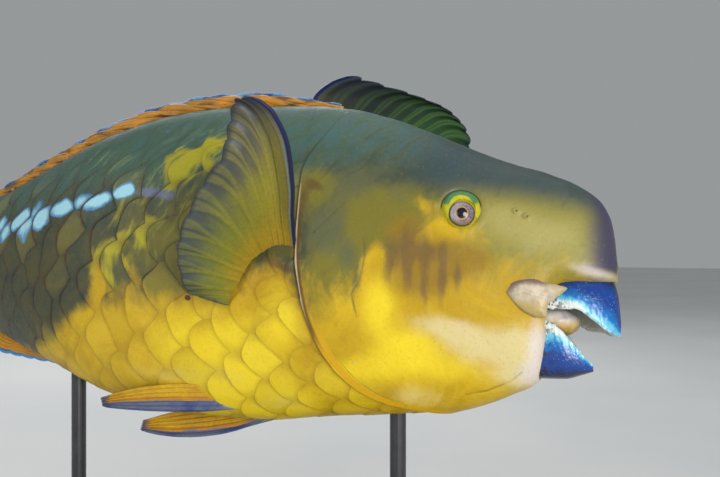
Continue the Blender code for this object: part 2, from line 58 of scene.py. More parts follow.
# The station that stands at the frame's middle, and how far the edge of the gill cover stands up
MIDDLE_STATION = 0.45
FLAP_LIFT = 0.0020
# The eyes: radius of the ball, place of the turret, and how far the ball is ahead, down and in from it
EYE_RADIUS = 0.0082
EYE_STATION = 0.156
EYE_UP = 0.0215
EYE_AHEAD = 0.0004
EYE_DOWN = 0.0031
EYE_SUNK = 0.0030
# The turret's foot and the opening between the lids, as radii in millimetres
TURRET_FOOT = 9.5
OPENING = 5.5
# How far the dome of the eye stands over the ball, as a part of its radius
CORNEA_RISE = 0.035

# Shape of the body by station, as parts of LENGTH; FULLNESS is the power that rounds its sides, and
# headings and rolls are in degrees
TOP = ((0.000, -0.040), (0.004, 0.000), (0.010, 0.024), (0.020, 0.041), (0.040, 0.056), (0.070, 0.070),
       (0.124, 0.087), (0.181, 0.112), (0.239, 0.136), (0.300, 0.154), (0.360, 0.161), (0.450, 0.163),
       (0.530, 0.156), (0.626, 0.133), (0.698, 0.108), (0.788, 0.078), (0.850, 0.060), (0.930, 0.046),
       (1.010, 0.054))
BOTTOM = ((0.000, -0.046), (0.010, -0.049), (0.045, -0.053), (0.060, -0.060), (0.067, -0.092),
          (0.072, -0.135), (0.080, -0.153), (0.102, -0.166), (0.135, -0.180), (0.181, -0.190),
          (0.239, -0.198), (0.313, -0.205), (0.400, -0.214), (0.492, -0.212), (0.584, -0.198),
          (0.698, -0.163), (0.770, -0.145), (0.840, -0.126), (0.930, -0.106), (1.010, -0.112))
HALF_WIDTH = ((0.000, 0.010), (0.004, 0.024), (0.012, 0.034), (0.030, 0.044), (0.060, 0.052),
              (0.100, 0.061), (0.160, 0.073), (0.240, 0.083), (0.340, 0.088), (0.450, 0.083),
              (0.600, 0.066), (0.750, 0.044), (0.880, 0.028), (1.010, 0.019))
TAIL_TAPER = ((1.000, 1.0), (1.012, 0.86), (1.030, 0.42), (1.050, 0.10))
WIDEST = ((0.000, -0.030), (0.060, -0.034), (0.120, -0.042), (0.250, -0.045), (0.450, -0.035),
          (1.010, -0.029))
FULLNESS = ((0.000, 0.80), (0.080, 0.74), (0.200, 0.86), (0.500, 0.92), (1.010, 0.95))
HEADING = ((-0.05, -2.0), (0.25, -2.0), (0.45, -9.0), (0.80, 13.0), (1.00, 8.0), (1.30, 2.0))
ROLL = ((-0.05, 12.0), (0.10, 11.0), (0.30, 7.5), (0.60, 6.0), (1.30, 4.0))
# Station of the gill cover's edge by the angle down from the back
GILL_EDGE = ((0.00, 0.290), (0.70, 0.315), (1.05, 0.335), (1.45, 0.334), (1.80, 0.324), (2.10, 0.305),
             (2.40, 0.276), (2.65, 0.240), (2.90, 0.196), (3.14, 0.172))

# Scales: columns along the trunk, rows round the girth by station, how far the middle of a free edge is
# behind its corners and how much less in each next column, the power that rounds it, and its height
SCALE_COLUMNS = 25
SCALE_ROWS = ((0.15, 18.0), (0.35, 17.0), (0.55, 13.4), (0.75, 10.4), (1.01, 8.4))
SCALE_REACH = 0.70
SCALE_REACH_DROP = 0.013
SCALE_POINT = 1.8
SCALE_LIFT = 0.00045


def blend(table, at):
    """A smooth curve through a few pairs, with slopes taken from the neighbours."""
    xs, ys = np.array(table, float).T
    at = np.clip(np.asarray(at, float), xs[0], xs[-1])
    steps = np.diff(ys) / np.diff(xs)
    slopes = np.concatenate([steps[:1], steps[:1], steps[1:]])[:len(xs)]
    slopes[-1] = steps[-1]
    before = steps[:-1]
    after = steps[1:]
    level = before * after <= 0.0
    slopes[1:-1] = np.where(level, 0.0, 2.0 * before * after / np.where(level, 1.0, before + after))
    i = np.clip(np.searchsorted(xs, at, side="left") - 1, 0, len(xs) - 2)
    span = xs[i + 1] - xs[i]
    t = (at - xs[i]) / span
    low = ys[i] * (1 + 2 * t) * (1 - t) ** 2 + slopes[i] * span * t * (1 - t) ** 2
    high = ys[i + 1] * (3 - 2 * t) * t ** 2 - slopes[i + 1] * span * t ** 2 * (1 - t)
    return low + high


def bell(at, centre, wide):
    """1 at the centre, falling off evenly on both sides."""
    return np.exp(-((at - centre) / wide) ** 2)


def ease(low, high, at):
    """0 below low, 1 above high, smooth between them; low may be the larger."""
    t = np.clip((np.asarray(at, float) - low) / (high - low), 0.0, 1.0)
    return t * t * (3.0 - 2.0 * t)


def walk_spine():
    """Stations along the body line, with their places and headings seen from above."""
    stations = np.linspace(-0.05, 1.35, 561)
    turn = np.radians(blend(HEADING, stations))
    step = (stations[1] - stations[0]) * LENGTH
    x = -np.concatenate([[0.0], np.cumsum(np.cos(turn[:-1]))]) * step
    y = np.concatenate([[0.0], np.cumsum(np.sin(turn[:-1]))]) * step
    x -= np.interp(MIDDLE_STATION, stations, x)
    y -= np.interp(MIDDLE_STATION, stations, y)
    return stations, x, y, turn


SPINE = walk_spine()


def middle(s):
    """Height in metres of the widest place of the body."""
    return blend(WIDEST, s) * LENGTH


def place(s, left, up):
    """World points at stations: left of the body line and up from the camera level, then rolled."""
    stations, xs, ys, turns = SPINE
    s, left, up = np.broadcast_arrays(np.asarray(s, float), left, up)
    pivot = middle(np.clip(s, 0.09, 1.0))
    roll = np.radians(blend(ROLL, s))
    turn = np.interp(s, stations, turns)
    out = left * np.cos(roll) + (up - pivot) * np.sin(roll)
    height = pivot + (up - pivot) * np.cos(roll) - left * np.sin(roll)
    x = np.interp(s, stations, xs) + np.sin(turn) * out
    y = np.interp(s, stations, ys) + np.cos(turn) * out
    return np.stack([x, y, AXIS_HEIGHT + height], axis=-1)


def body_surface(s, angle, lift=0.0):
    """Points of the body's surface; the angle runs from the back over the left side and round."""
    s, angle = np.broadcast_arrays(np.asarray(s, float), angle)
    up = np.cos(angle)
    side = np.sin(angle)
    reach = np.where(up > 0.0, blend(TOP, s), blend(BOTTOM, s)) * LENGTH - middle(s)
    half_wide = blend(HALF_WIDTH, s) * blend(TAIL_TAPER, s) * LENGTH + lift
    left = np.sign(side) * np.abs(side) ** blend(FULLNESS, s) * half_wide
    return place(s, left, middle(s) + (np.abs(reach) + lift) * up)


def body_height(s, angle):
    """Height above the camera level, as a part of LENGTH, before the roll."""
    up = np.cos(angle)
    reach = np.where(up > 0.0, blend(TOP, s), blend(BOTTOM, s)) - blend(WIDEST, s)
    return blend(WIDEST, s) + np.abs(reach) * up


def angle_at(s, up, side):
    """The angle at which the body's surface is this far above the camera level, before the roll."""
    above = up * LENGTH - middle(s)
    reach = (blend(TOP, s) if above > 0.0 else blend(BOTTOM, s)) * LENGTH - middle(s)
    angle = math.acos(max(-1.0, min(1.0, float(above / abs(reach)))))
    return angle if side > 0 else 2.0 * math.pi - angle


def surface_spot(s, up, side):
    """A point of the body's side and the outward direction there."""
    angle = angle_at(s, up, side)
    along = body_surface(s + 0.004, angle) - body_surface(s - 0.004, angle)
    round_it = body_surface(s, angle + 0.05) - body_surface(s, angle - 0.05)
    out = np.cross(round_it, along)
    return body_surface(s, angle), out / np.linalg.norm(out)


def down_angle(angle):
    """The angle down from the back on either side."""
    return np.where(angle <= math.pi, angle, 2.0 * math.pi - angle)


def gill_edge(angle):
    return blend(GILL_EDGE, down_angle(angle))


def flap_share(angle):
    """The gill cover is free on the sides and below, and fast at the nape."""
    return blend(((0.0, 0.0), (0.45, 0.0), (0.95, 1.0), (3.15, 1.0)), down_angle(angle))


# Mesh helpers
def mesh_object(name, points, faces):
    """A smooth mesh whose faces may have any number of corners."""
    mesh = bpy.data.meshes.new(name)
    mesh.from_pydata([tuple(p) for p in points], [], [tuple(f) for f in faces])
    mesh.validate()
    for face in mesh.polygons:
        face.use_smooth = True
    made = bpy.data.objects.new(name, mesh)
    bpy.context.scene.collection.objects.link(made)
    return made


def grid_quads(rows, cols, wrap=False, start=0):
    """Quads over a grid of points, as an array of four indices each."""
    index = np.arange(rows * cols).reshape(rows, cols) + start
    right = np.roll(index, -1, axis=1) if wrap else index[:, 1:]
    left = index if wrap else index[:, :-1]
    return np.stack([left[:-1], right[:-1], right[1:], left[1:]], axis=-1).reshape(-1, 4)


def quad_mesh(name, points, quads, triangles=()):
    """A mesh made fast from arrays of quads and triangles."""
    points = np.asarray(points, np.float32).reshape(-1, 3)
    quads = np.asarray(quads, np.int32).reshape(-1, 4)
    triangles = np.asarray(triangles, np.int32).reshape(-1, 3)
    mesh = bpy.data.meshes.new(name)
    mesh.vertices.add(len(points))
    mesh.vertices.foreach_set("co", points.ravel())
    mesh.loops.add(quads.size + triangles.size)
    mesh.loops.foreach_set("vertex_index", np.concatenate([quads.ravel(), triangles.ravel()]))
    mesh.polygons.add(len(quads) + len(triangles))
    starts = np.concatenate([np.arange(len(quads)) * 4, quads.size + np.arange(len(triangles)) * 3])
    mesh.polygons.foreach_set("loop_start", starts.astype(np.int32))
    mesh.update(calc_edges=True)
    mesh.polygons.foreach_set("use_smooth", np.ones(len(mesh.polygons), bool))
    made = bpy.data.objects.new(name, mesh)
    bpy.context.scene.collection.objects.link(made)
    return made


def tube_faces(rows, count, start=0):
    """Quads over rings of points, and triangles to the end points that come after them."""
    first = start + np.arange(count)
    last = first + (rows - 1) * count
    end = start + rows * count
    caps = [np.stack([np.full(count, end), np.roll(first, -1), first], axis=-1),
            np.stack([np.full(count, end + 1), last, np.roll(last, -1)], axis=-1)]
    return grid_quads(rows, count, True, start), np.concatenate(caps)


def closed_rings(name, rings, ends):
    """A closed mesh of rings of points, drawn together to one point at each end."""
    quads, caps = tube_faces(*rings.shape[:2])
    made = quad_mesh(name, np.concatenate([rings.reshape(-1, 3), ends]), quads, caps)
    turn_outward(made)
    return made


def turn_outward(thing):
    """All faces of a closed mesh point out."""
    work = bmesh.new()
    work.from_mesh(thing.data)
    bmesh.ops.recalc_face_normals(work, faces=work.faces)
    work.to_mesh(thing.data)
    work.free()


def corner_vertices(mesh):
    found = np.zeros(len(mesh.loops), np.int32)
    mesh.loops.foreach_get("vertex_index", found)
    return found


def add_uv(mesh, name, values):
    """A UV map from one pair for each face corner."""
    layer = mesh.uv_layers.new(name=name)
    layer.uv.foreach_set("vector", np.asarray(values, np.float32).ravel())


def get_uv(mesh, name):
    values = np.zeros(len(mesh.loops) * 2, np.float32)
    mesh.uv_layers[name].uv.foreach_get("vector", values)
    return values.reshape(-1, 2)


def add_mask(mesh, name, values):
    """A number for each face corner, read by the materials."""
    layer = mesh.attributes.new(name, "FLOAT", "CORNER")
    layer.data.foreach_set("value", np.asarray(values, np.float32).ravel())


def cut(thing, cutter):
    """Takes the cutter's room out of a mesh; the new faces get the cutter's material."""
    step = thing.modifiers.new("step", "BOOLEAN")
    step.operation = "DIFFERENCE"
    step.solver = "EXACT"
    step.object = cutter
    step.material_mode = "TRANSFER"
    view = bpy.context.evaluated_depsgraph_get()
    view.update()
    made = bpy.data.meshes.new_from_object(thing.evaluated_get(view))
    thing.modifiers.clear()
    thing.data = made
    bpy.data.objects.remove(cutter, do_unlink=True)


# Material helpers
def srgb(red, green, blue):
    """A colour given as screen values up to 255, as the shader wants it."""
    def one(value):
        value /= 255.0
        return value / 12.92 if value <= 0.04045 else ((value + 0.055) / 1.055) ** 2.4
    return (one(red), one(green), one(blue), 1.0)


class Net:
    """Short calls to lay out the nodes of one material."""

    def __init__(self, name, roughness=0.45, coat=0.0, coat_rough=0.15, specular=0.5):
        self.material = bpy.data.materials.new(name)
        self.material.use_nodes = True
        self.nodes = self.material.node_tree.nodes
        self.links = self.material.node_tree.links
        self.shader = self.nodes["Principled BSDF"]
        self.shader.inputs["Roughness"].default_value = roughness
        self.shader.inputs["Coat Weight"].default_value = coat
        self.shader.inputs["Coat Roughness"].default_value = coat_rough
        self.shader.inputs["Specular IOR Level"].default_value = specular

    def put(self, socket, value):
        if isinstance(value, bpy.types.NodeSocket):
            self.links.new(value, socket)
        elif value is not None:
            socket.default_value = value

    def math(self, kind, a, b=None):
        node = self.nodes.new("ShaderNodeMath")
        node.operation = kind
        for socket, value in zip(node.inputs, (a, b)):
            self.put(socket, value)
        return node.outputs[0]

    def add(self, a, b):
        return self.math("ADD", a, b)

    def less(self, a, b):
        return self.math("SUBTRACT", a, b)

    def times(self, *factors):
        product = factors[0]
        for factor in factors[1:]:
            product = self.math("MULTIPLY", product, factor)
        return product

    def sway(self, texture, size):
        """A texture made to swing evenly about nought."""
        return self.times(self.less(texture, 0.5), size)

    def mix(self, share, a, b):
        node = self.nodes.new("ShaderNodeMix")
        node.data_type = "RGBA"
        self.put(node.inputs["Factor"], share)
        self.put(node.inputs[6], a)
        self.put(node.inputs[7], b)
        return node.outputs[2]

    def ramp(self, at, low, high, to_low=0.0, to_high=1.0):
        node = self.nodes.new("ShaderNodeMapRange")
        node.interpolation_type = "SMOOTHSTEP"
        self.put(node.inputs["Value"], at)
        self.put(node.inputs["From Min"], low)
        self.put(node.inputs["From Max"], high)
        self.put(node.inputs["To Min"], to_low)
        self.put(node.inputs["To Max"], to_high)
        return node.outputs[0]

    def mask(self, name):
        node = self.nodes.new("ShaderNodeAttribute")
        node.attribute_name = name
        return node.outputs["Fac"]

    def uv(self, name):
        node = self.nodes.new("ShaderNodeUVMap")
        node.uv_map = name
        return node.outputs["UV"]

    def split(self, vector):
        node = self.nodes.new("ShaderNodeSeparateXYZ")
        self.put(node.inputs[0], vector)
        return node.outputs

    def join(self, x, y, z=0.0):
        node = self.nodes.new("ShaderNodeCombineXYZ")
        for socket, value in zip(node.inputs, (x, y, z)):
            self.put(socket, value)
        return node.outputs[0]

    def where(self):
        return self.nodes.new("ShaderNodeTexCoord").outputs["Object"]

    def stretch(self, *scale):
        """The place on the object, with each axis at a scale of its own."""
        node = self.nodes.new("ShaderNodeMapping")
        self.put(node.inputs["Vector"], self.where())
        node.inputs["Scale"].default_value = scale
        return node.outputs[0]

    def noise(self, scale, detail=3.0, rough=0.55, vector=None, twist=0.0):
        node = self.nodes.new("ShaderNodeTexNoise")
        node.inputs["Scale"].default_value = scale
        node.inputs["Detail"].default_value = detail
        node.inputs["Roughness"].default_value = rough
        node.inputs["Distortion"].default_value = twist
        self.put(node.inputs["Vector"], vector if vector is not None else self.where())
        return node.outputs["Fac"]

    def cells(self, scale):
        node = self.nodes.new("ShaderNodeTexVoronoi")
        node.inputs["Scale"].default_value = scale
        self.put(node.inputs["Vector"], self.where())
        return node.outputs["Distance"]

    def chance(self, vector):
        node = self.nodes.new("ShaderNodeTexWhiteNoise")
        self.put(node.inputs["Vector"], vector)
        return node.outputs["Value"]

    def bump(self, height, distance, strength):
        node = self.nodes.new("ShaderNodeBump")
        node.inputs["Strength"].default_value = strength
        node.inputs["Distance"].default_value = distance
        self.put(node.inputs["Height"], height)
        return node.outputs[0]

    def done(self, colour, rough=None, normal=None):
        self.put(self.shader.inputs["Base Color"], colour)
        self.put(self.shader.inputs["Roughness"], rough)
        self.put(self.shader.inputs["Normal"], normal)
        return self.material

    def finish(self, colour, fine, smoothest, roughest, deep=0.0003, strength=0.3, coarse=None):
        """Gloss and bump from a fine texture, with a coarse one added where there is one."""
        height = fine if coarse is None else self.add(self.times(fine, 0.4), coarse)
        rough = self.ramp(fine, 0.2, 0.8, smoothest, roughest)
        return self.done(colour, rough, self.bump(height, deep, strength))


def use(thing, material):
    thing.data.materials.clear()
    thing.data.materials.append(material)


# The skin: mesh columns round it, mesh rows behind the gill cover, and where rows begin to lean to its edge
SKIN_COLUMNS = 500
TRUNK_ROWS = 390
LEAN_FROM = 0.120


def lead_columns():
    """Angles of the mesh columns, even along the girth and closer together at the eyes."""
    angles = np.linspace(0.0, 2.0 * math.pi, 4001)
    ring = body_surface(0.45, angles)
    run = np.concatenate([[0.0], np.cumsum(np.linalg.norm(np.diff(ring, axis=0), axis=1))])
    run /= run[-1]
    eyes = [np.interp(angle_at(EYE_STATION, EYE_UP, side), angles, run) for side in (1, -1)]
    density = np.ones_like(run)
    for eye in eyes:
        density += 1.1 * np.exp(-((run - eye) / 0.028) ** 2)
    total = np.concatenate([[0.0], np.cumsum(0.5 * (density[1:] + density[:-1]) * np.diff(run))])
    total /= total[-1]
    shares = np.interp(np.arange(SKIN_COLUMNS) / SKIN_COLUMNS, total, run)
    return np.interp(shares, run, angles), shares


def column_number(s):
    """Scale columns counted back from the gill cover; they get shorter towards the tail."""
    t = (np.asarray(s, float) - 0.30) / 0.70
    return SCALE_COLUMNS * t * (0.92 + 0.08 * t)


def scale_place(s, angle, share):
    """Coordinates in columns and rows of scales, a little uneven as on a real fish."""
    rise = body_height(s, angle) - blend(WIDEST, s)
    lean = 0.10 * rise + np.where(rise > 0.0, 3.0, 1.3) * rise ** 2
    u = column_number(s + lean)
    v = blend(SCALE_ROWS, s) * np.abs(share - 0.5)
    phase = np.where(share < 0.5, 2.0, 0.0)
    sway = np.sin(2.0 * math.pi * np.abs(share - 0.5))
    u = u + sway * (0.20 * np.sin(2.9 * v + 0.9 * u + phase) + 0.10 * np.sin(6.1 * v - 1.7 * u))
    v = v + sway * (0.10 * np.sin(1.1 * u + phase) + 0.07 * np.sin(2.7 * u + 2.0 * v))
    return u, v


def scale_measure(u, v):
    """How far a point is ahead of its scale's free edge and behind the last one, in columns."""
    n = np.floor(u)
    f = u - n
    own = v + 0.5 * n
    own_x = 2.0 * np.abs(own - np.floor(own) - 0.5)
    next_row = own + 0.5
    next_x = 2.0 * np.abs(next_row - np.floor(next_row) - 0.5)
    reach = SCALE_REACH - SCALE_REACH_DROP * u
    own_edge = reach * (1.0 - own_x ** SCALE_POINT)
    next_edge = reach * (1.0 - next_x ** SCALE_POINT)
    inside = f < own_edge
    ahead = np.where(inside, own_edge - f, 1.0 + next_edge - f)
    behind = np.where(inside, f + 1.0 - next_edge, f - own_edge)
    return ahead, behind


def scale_weight(s, angle):
    """Full on the flank, faint on the upper back and the rear of the head, none on the snout."""
    edge = gill_edge(angle)
    on_head = ease(edge - 0.09, edge - 0.02, s) * 0.16
    upper = 1.0 - 0.75 * ease(0.045, 0.095, body_height(s, angle))
    return np.where(s >= edge - 0.0005, upper, on_head) * (1.0 - ease(1.0, 1.03, s))


def near_line(spots, line):
    """Distance of each point to a broken line, in the units of the points, and how far along it is."""
    best = np.full(spots.shape[:-1], 1e9)
    along = np.zeros(spots.shape[:-1])
    for i in range(len(line) - 1):
        a = np.array(line[i], float)
        b = np.array(line[i + 1], float)
        d = b - a
        t = np.clip(((spots - a) @ d) / (d @ d), 0.0, 1.0)
        away = np.linalg.norm(spots - a - t[..., None] * d, axis=-1)
        closer = away < best
        best = np.where(closer, away, best)
        along = np.where(closer, (i + t) / (len(line) - 1), along)
    return best, along


# Lines on the side of the head and body, as station and height
COVER_FOLD = ((0.256, -0.010), (0.253, -0.032), (0.257, -0.054), (0.266, -0.070), (0.260, -0.094))
COVER_LINE = ((0.271, -0.048), (0.284, -0.066), (0.298, -0.080))
UPPER_LINE = ((0.279, 0.028), (0.296, 0.012), (0.314, -0.006))
JAW_LINE = ((0.092, -0.146), (0.104, -0.156), (0.128, -0.167), (0.150, -0.171))
PECTORAL_ROOT = ((0.343, -0.037), (0.367, -0.033), (0.385, -0.041), (0.402, -0.068), (0.414, -0.084))
ORBIT_FOLDS = ((0.172, 0.052), (0.185, 0.030), (0.188, 0.005), (0.178, -0.018))
LIP_MARGIN = ((0.000, -0.050), (0.009, -0.0495), (0.023, -0.0505), (0.043, -0.0525), (0.058, -0.058))
NOSTRILS = ((0.100, 0.0190), (0.089, 0.0130))


def skin_relief(s, angle, points):
    """Height of the skin over the plain body, in metres: orbit, nostrils, folds and fin roots."""
    height = body_height(s, angle)
    spots = np.stack([s, height], axis=-1) * LENGTH * 1000.0

    def groove(line, deep, wide, rim=0.0):
        away, along = near_line(spots, np.array(line) * LENGTH * 1000.0)
        ends = np.sin(math.pi * np.clip(along, 0.02, 0.98)) ** 0.5
        return ends * (rim * bell(away, 2.4 * wide, 1.5 * wide) - deep * bell(away, 0.0, wide))

    relief = groove(COVER_FOLD, 0.34, 0.9, 0.16) + groove(COVER_LINE, 0.24, 0.8)
    relief += groove(UPPER_LINE, 0.24, 0.9) + groove(JAW_LINE, 0.30, 0.8) + groove(ORBIT_FOLDS, 0.30, 1.2)
    for side in (1, -1):
        centre = surface_spot(EYE_STATION, EYE_UP, side)[0]
        away = np.linalg.norm(points - centre, axis=-1) * 1000.0
        opening = centre + np.array([EYE_AHEAD + 0.0006, 0.0, 0.0008 - EYE_DOWN])
        to_opening = np.linalg.norm(points - opening, axis=-1) * 1000.0
        relief += 2.5 * ease(OPENING, OPENING + 0.9, to_opening) * ease(TURRET_FOOT + 0.5, 7.2, away)
        relief -= 4.2 * ease(OPENING + 0.6, OPENING - 0.3, to_opening)
        relief += 0.5 * bell(away, 12.0, 2.2) - 0.60 * bell(away, TURRET_FOOT, 0.65)
        relief -= 0.18 * bell(away, 7.8, 0.45)
        for nostril in NOSTRILS:
            away = np.linalg.norm(points - surface_spot(*nostril, side)[0], axis=-1) * 1000.0
            relief += 1.3 * bell(away, 1.1, 0.6) - 1.0 * bell(away, 0.0, 0.55)
    # the slack skin of the cheek and forehead
    x, y, z = (points[..., i] * 1000.0 for i in range(3))
    slack = np.sin(x * 0.21 + 1.3 * np.sin(z * 0.17)) * np.sin(z * 0.19 + 0.8 * np.sin(x * 0.11 + y * 0.2))
    fine = np.sin(x * 0.83 + 1.9 * np.sin(z * 0.57)) * np.sin(z * 0.91 + 1.7 * np.sin(x * 0.49))
    edge = gill_edge(angle)
    head = ease(edge + 0.02, edge - 0.05, s)
    relief += head * (0.22 * slack + 0.05 * fine)
    # the fleshy roots of the pectoral fins, with slack folds below them
    away = near_line(spots, np.array(PECTORAL_ROOT) * LENGTH * 1000.0)[0]
    below = bell(s, 0.375, 0.030) * bell(height, -0.082, 0.020)
    slack_folds = 0.5 * below * np.sin((height + 0.55 * s) * 700.0 + 3.0 * np.sin(s * 60.0))
    relief += np.where(s > edge, 2.4 * bell(away, 0.0, 5.0) + slack_folds, 0.0)
    return relief * 0.001


def build_skin():
    """One closed skin over head, trunk and tail stem, with its scales standing in its own surface."""
    columns, shares = lead_columns()
    edge = gill_edge(columns)
    lift_share = flap_share(columns)
    front = np.concatenate([np.linspace(0.0, 0.012, 14), np.linspace(0.0132, 0.119, 96)]) + 0.001
    steps = np.concatenate([np.arange(0.006, 0.045, 0.006), np.arange(0.045, 0.27, 0.0046),
                            np.arange(0.275, 0.97, 0.0082), [0.972, 0.980, 0.987, 0.993, 1.0]])
    level = np.zeros_like(columns)
    # rows of the snout and head, of the turned-in edge of the gill cover, of the trunk and of the tail stem
    rows = [(level + s, level) for s in front]
    for t in steps:
        rows.append((LEAN_FROM + (edge - LEAN_FROM) * t, FLAP_LIFT * lift_share * max(0.0, t - 0.2) / 0.8))
    for back, share in ((0.0010, 0.90), (0.0013, 0.62), (0.0003, 0.34), (-0.0030, 0.10)):
        rows.append((edge + back * lift_share + 0.0002, FLAP_LIFT * lift_share * share))
    start = rows[-1][0]
    rows += [(start + (1.0 - start) * t, level) for t in np.linspace(0.0, 1.0, TRUNK_ROWS)[1:]]
    rows += [(level + s, level) for s in np.linspace(1.002, 1.046, 22)]
    s, lifts = np.array(rows).transpose(1, 0, 2)
    angle = np.broadcast_to(columns, s.shape)
    share = np.broadcast_to(shares, s.shape)
    points = body_surface(s, angle, lifts)
    relief = skin_relief(s, angle, points)
    ahead, behind = scale_measure(*scale_place(s, angle, share))
    length = ahead + behind
    raised = SCALE_LIFT * (behind / length) ** 1.15 * np.clip(length / (1.0 + SCALE_REACH), 0.0, 1.0)
    relief = relief + raised * scale_weight(s, angle)
    plain = body_surface(s, angle)
    out = np.cross(np.roll(plain, -1, axis=1) - np.roll(plain, 1, axis=1), np.gradient(plain, axis=0))
    out = out / np.maximum(np.linalg.norm(out, axis=-1, keepdims=True), 1e-12)
    points = points + out * relief[..., None]
    skin = closed_rings("skin", points, np.array([points[0].mean(axis=0), points[-1].mean(axis=0)]))
    # the place of each face corner, so that markings follow the fish and not the mesh
    corners = corner_vertices(skin.data)
    flat_s = np.append(s.ravel(), [s[0, 0], s[-1, 0]])
    flat_share = np.append(share.ravel(), [0.5, 0.5])
    place_uv = np.stack([flat_s[corners], flat_share[corners]], axis=-1)
    # faces that close the ring run on past 1
    of_quads = 4 * (len(rows) - 1) * SKIN_COLUMNS
    faces = place_uv[:of_quads].reshape(-1, 4, 2)
    wrapped = np.ptp(faces[..., 1], axis=1) > 0.5
    faces[..., 1] += wrapped[:, None] & (faces[..., 1] < 0.5)
    add_uv(skin.data, "Place", place_uv)
    return skin


# The beak, two hollow scoops: half width, height of the cutting edge and height of the crown by station
UPPER_WIDE = ((-0.003, 0.004), (0.002, 0.014), (0.008, 0.020), (0.020, 0.027), (0.040, 0.034), (0.080, 0.040))
UPPER_EDGE = ((-0.003, -0.103), (0.008, -0.100), (0.016, -0.094), (0.028, -0.087), (0.042, -0.080),
              (0.080, -0.079))
UPPER_CROWN = ((-0.003, -0.086), (0.000, -0.060), (0.006, -0.043), (0.020, -0.037), (0.080, -0.038))
LOWER_WIDE = ((0.024, 0.004), (0.029, 0.011), (0.040, 0.020), (0.055, 0.028), (0.085, 0.033))
LOWER_EDGE = ((0.024, -0.134), (0.036, -0.123), (0.046, -0.110), (0.054, -0.101), (0.063, -0.094),
              (0.085, -0.089))
LOWER_CROWN = ((0.024, -0.140), (0.035, -0.144), (0.052, -0.149), (0.085, -0.150))
BEAK_WALL = 0.0048
# How large the chips of the cutting edge are, and how deep and where the upper one is worn away
CHIP = 0.0011
WORN = 0.0105
WORN_STATION = 0.035
UPPER_BACK = 0.080
LOWER_BACK = 0.085
UPPER = (UPPER_WIDE, UPPER_EDGE, UPPER_CROWN)
LOWER = (LOWER_WIDE, LOWER_EDGE, LOWER_CROWN)


def beak_points(shape, s, angle, inside=0.0, lift=0.0, edge_shift=0.0):
    """Points of one scoop; the angle runs from the right cutting edge over the crown to the left."""
    wide = blend(shape[0], s)
    edge = blend(shape[1], s) + edge_shift
    deep = blend(shape[2], s) - edge
    wide = np.maximum(wide - inside, wide * 0.35) + lift
    deep = np.sign(deep) * (np.maximum(np.abs(deep) - inside, np.abs(deep) * 0.35) + lift)
    left = np.sign(np.sin(angle)) * np.abs(np.sin(angle)) ** 0.85 * wide
    up = edge + deep * np.maximum(np.cos(angle), 0.0) ** 0.85
    return place(s, left * LENGTH, up * LENGTH)


def scoop_stations(front, back, count):
    """Stations that stand closer together toward the tip."""
    return front + (back - front) * (np.arange(count) / (count - 1)) ** 1.6


def beak_hull(name, shape, back, rear, drop, lining):
    """The filled room of one half of the beak, larger by the gap, to cut the mouth from the skin."""
    around = 40
    angles = -0.5 * math.pi + math.pi * np.arange(around + 1) / around
    stations = np.append(scoop_stations(shape[0][0][0], back, 26), rear)
    rings = []
    for s in stations:
        ring = list(beak_points(shape, s, angles, 0.0, GAP / LENGTH))
        wide = float(blend(shape[0], s)) + GAP / LENGTH
        low = (float(blend(shape[1], s)) + drop) * LENGTH
        ring.append(place(s, wide * LENGTH, low))
        ring.append(place(s, -wide * LENGTH, low))
        rings.append(ring)
    row = around + 3
    faces = [tuple(f) for f in grid_quads(len(stations), row, True)]
    faces.append(tuple(range(row)))
    faces.append(tuple(range((len(stations) - 1) * row, len(stations) * row)))
    hull = mesh_object(name, np.array(rings).reshape(-1, 3), faces)
    turn_outward(hull)
    use(hull, lining)
    return hull


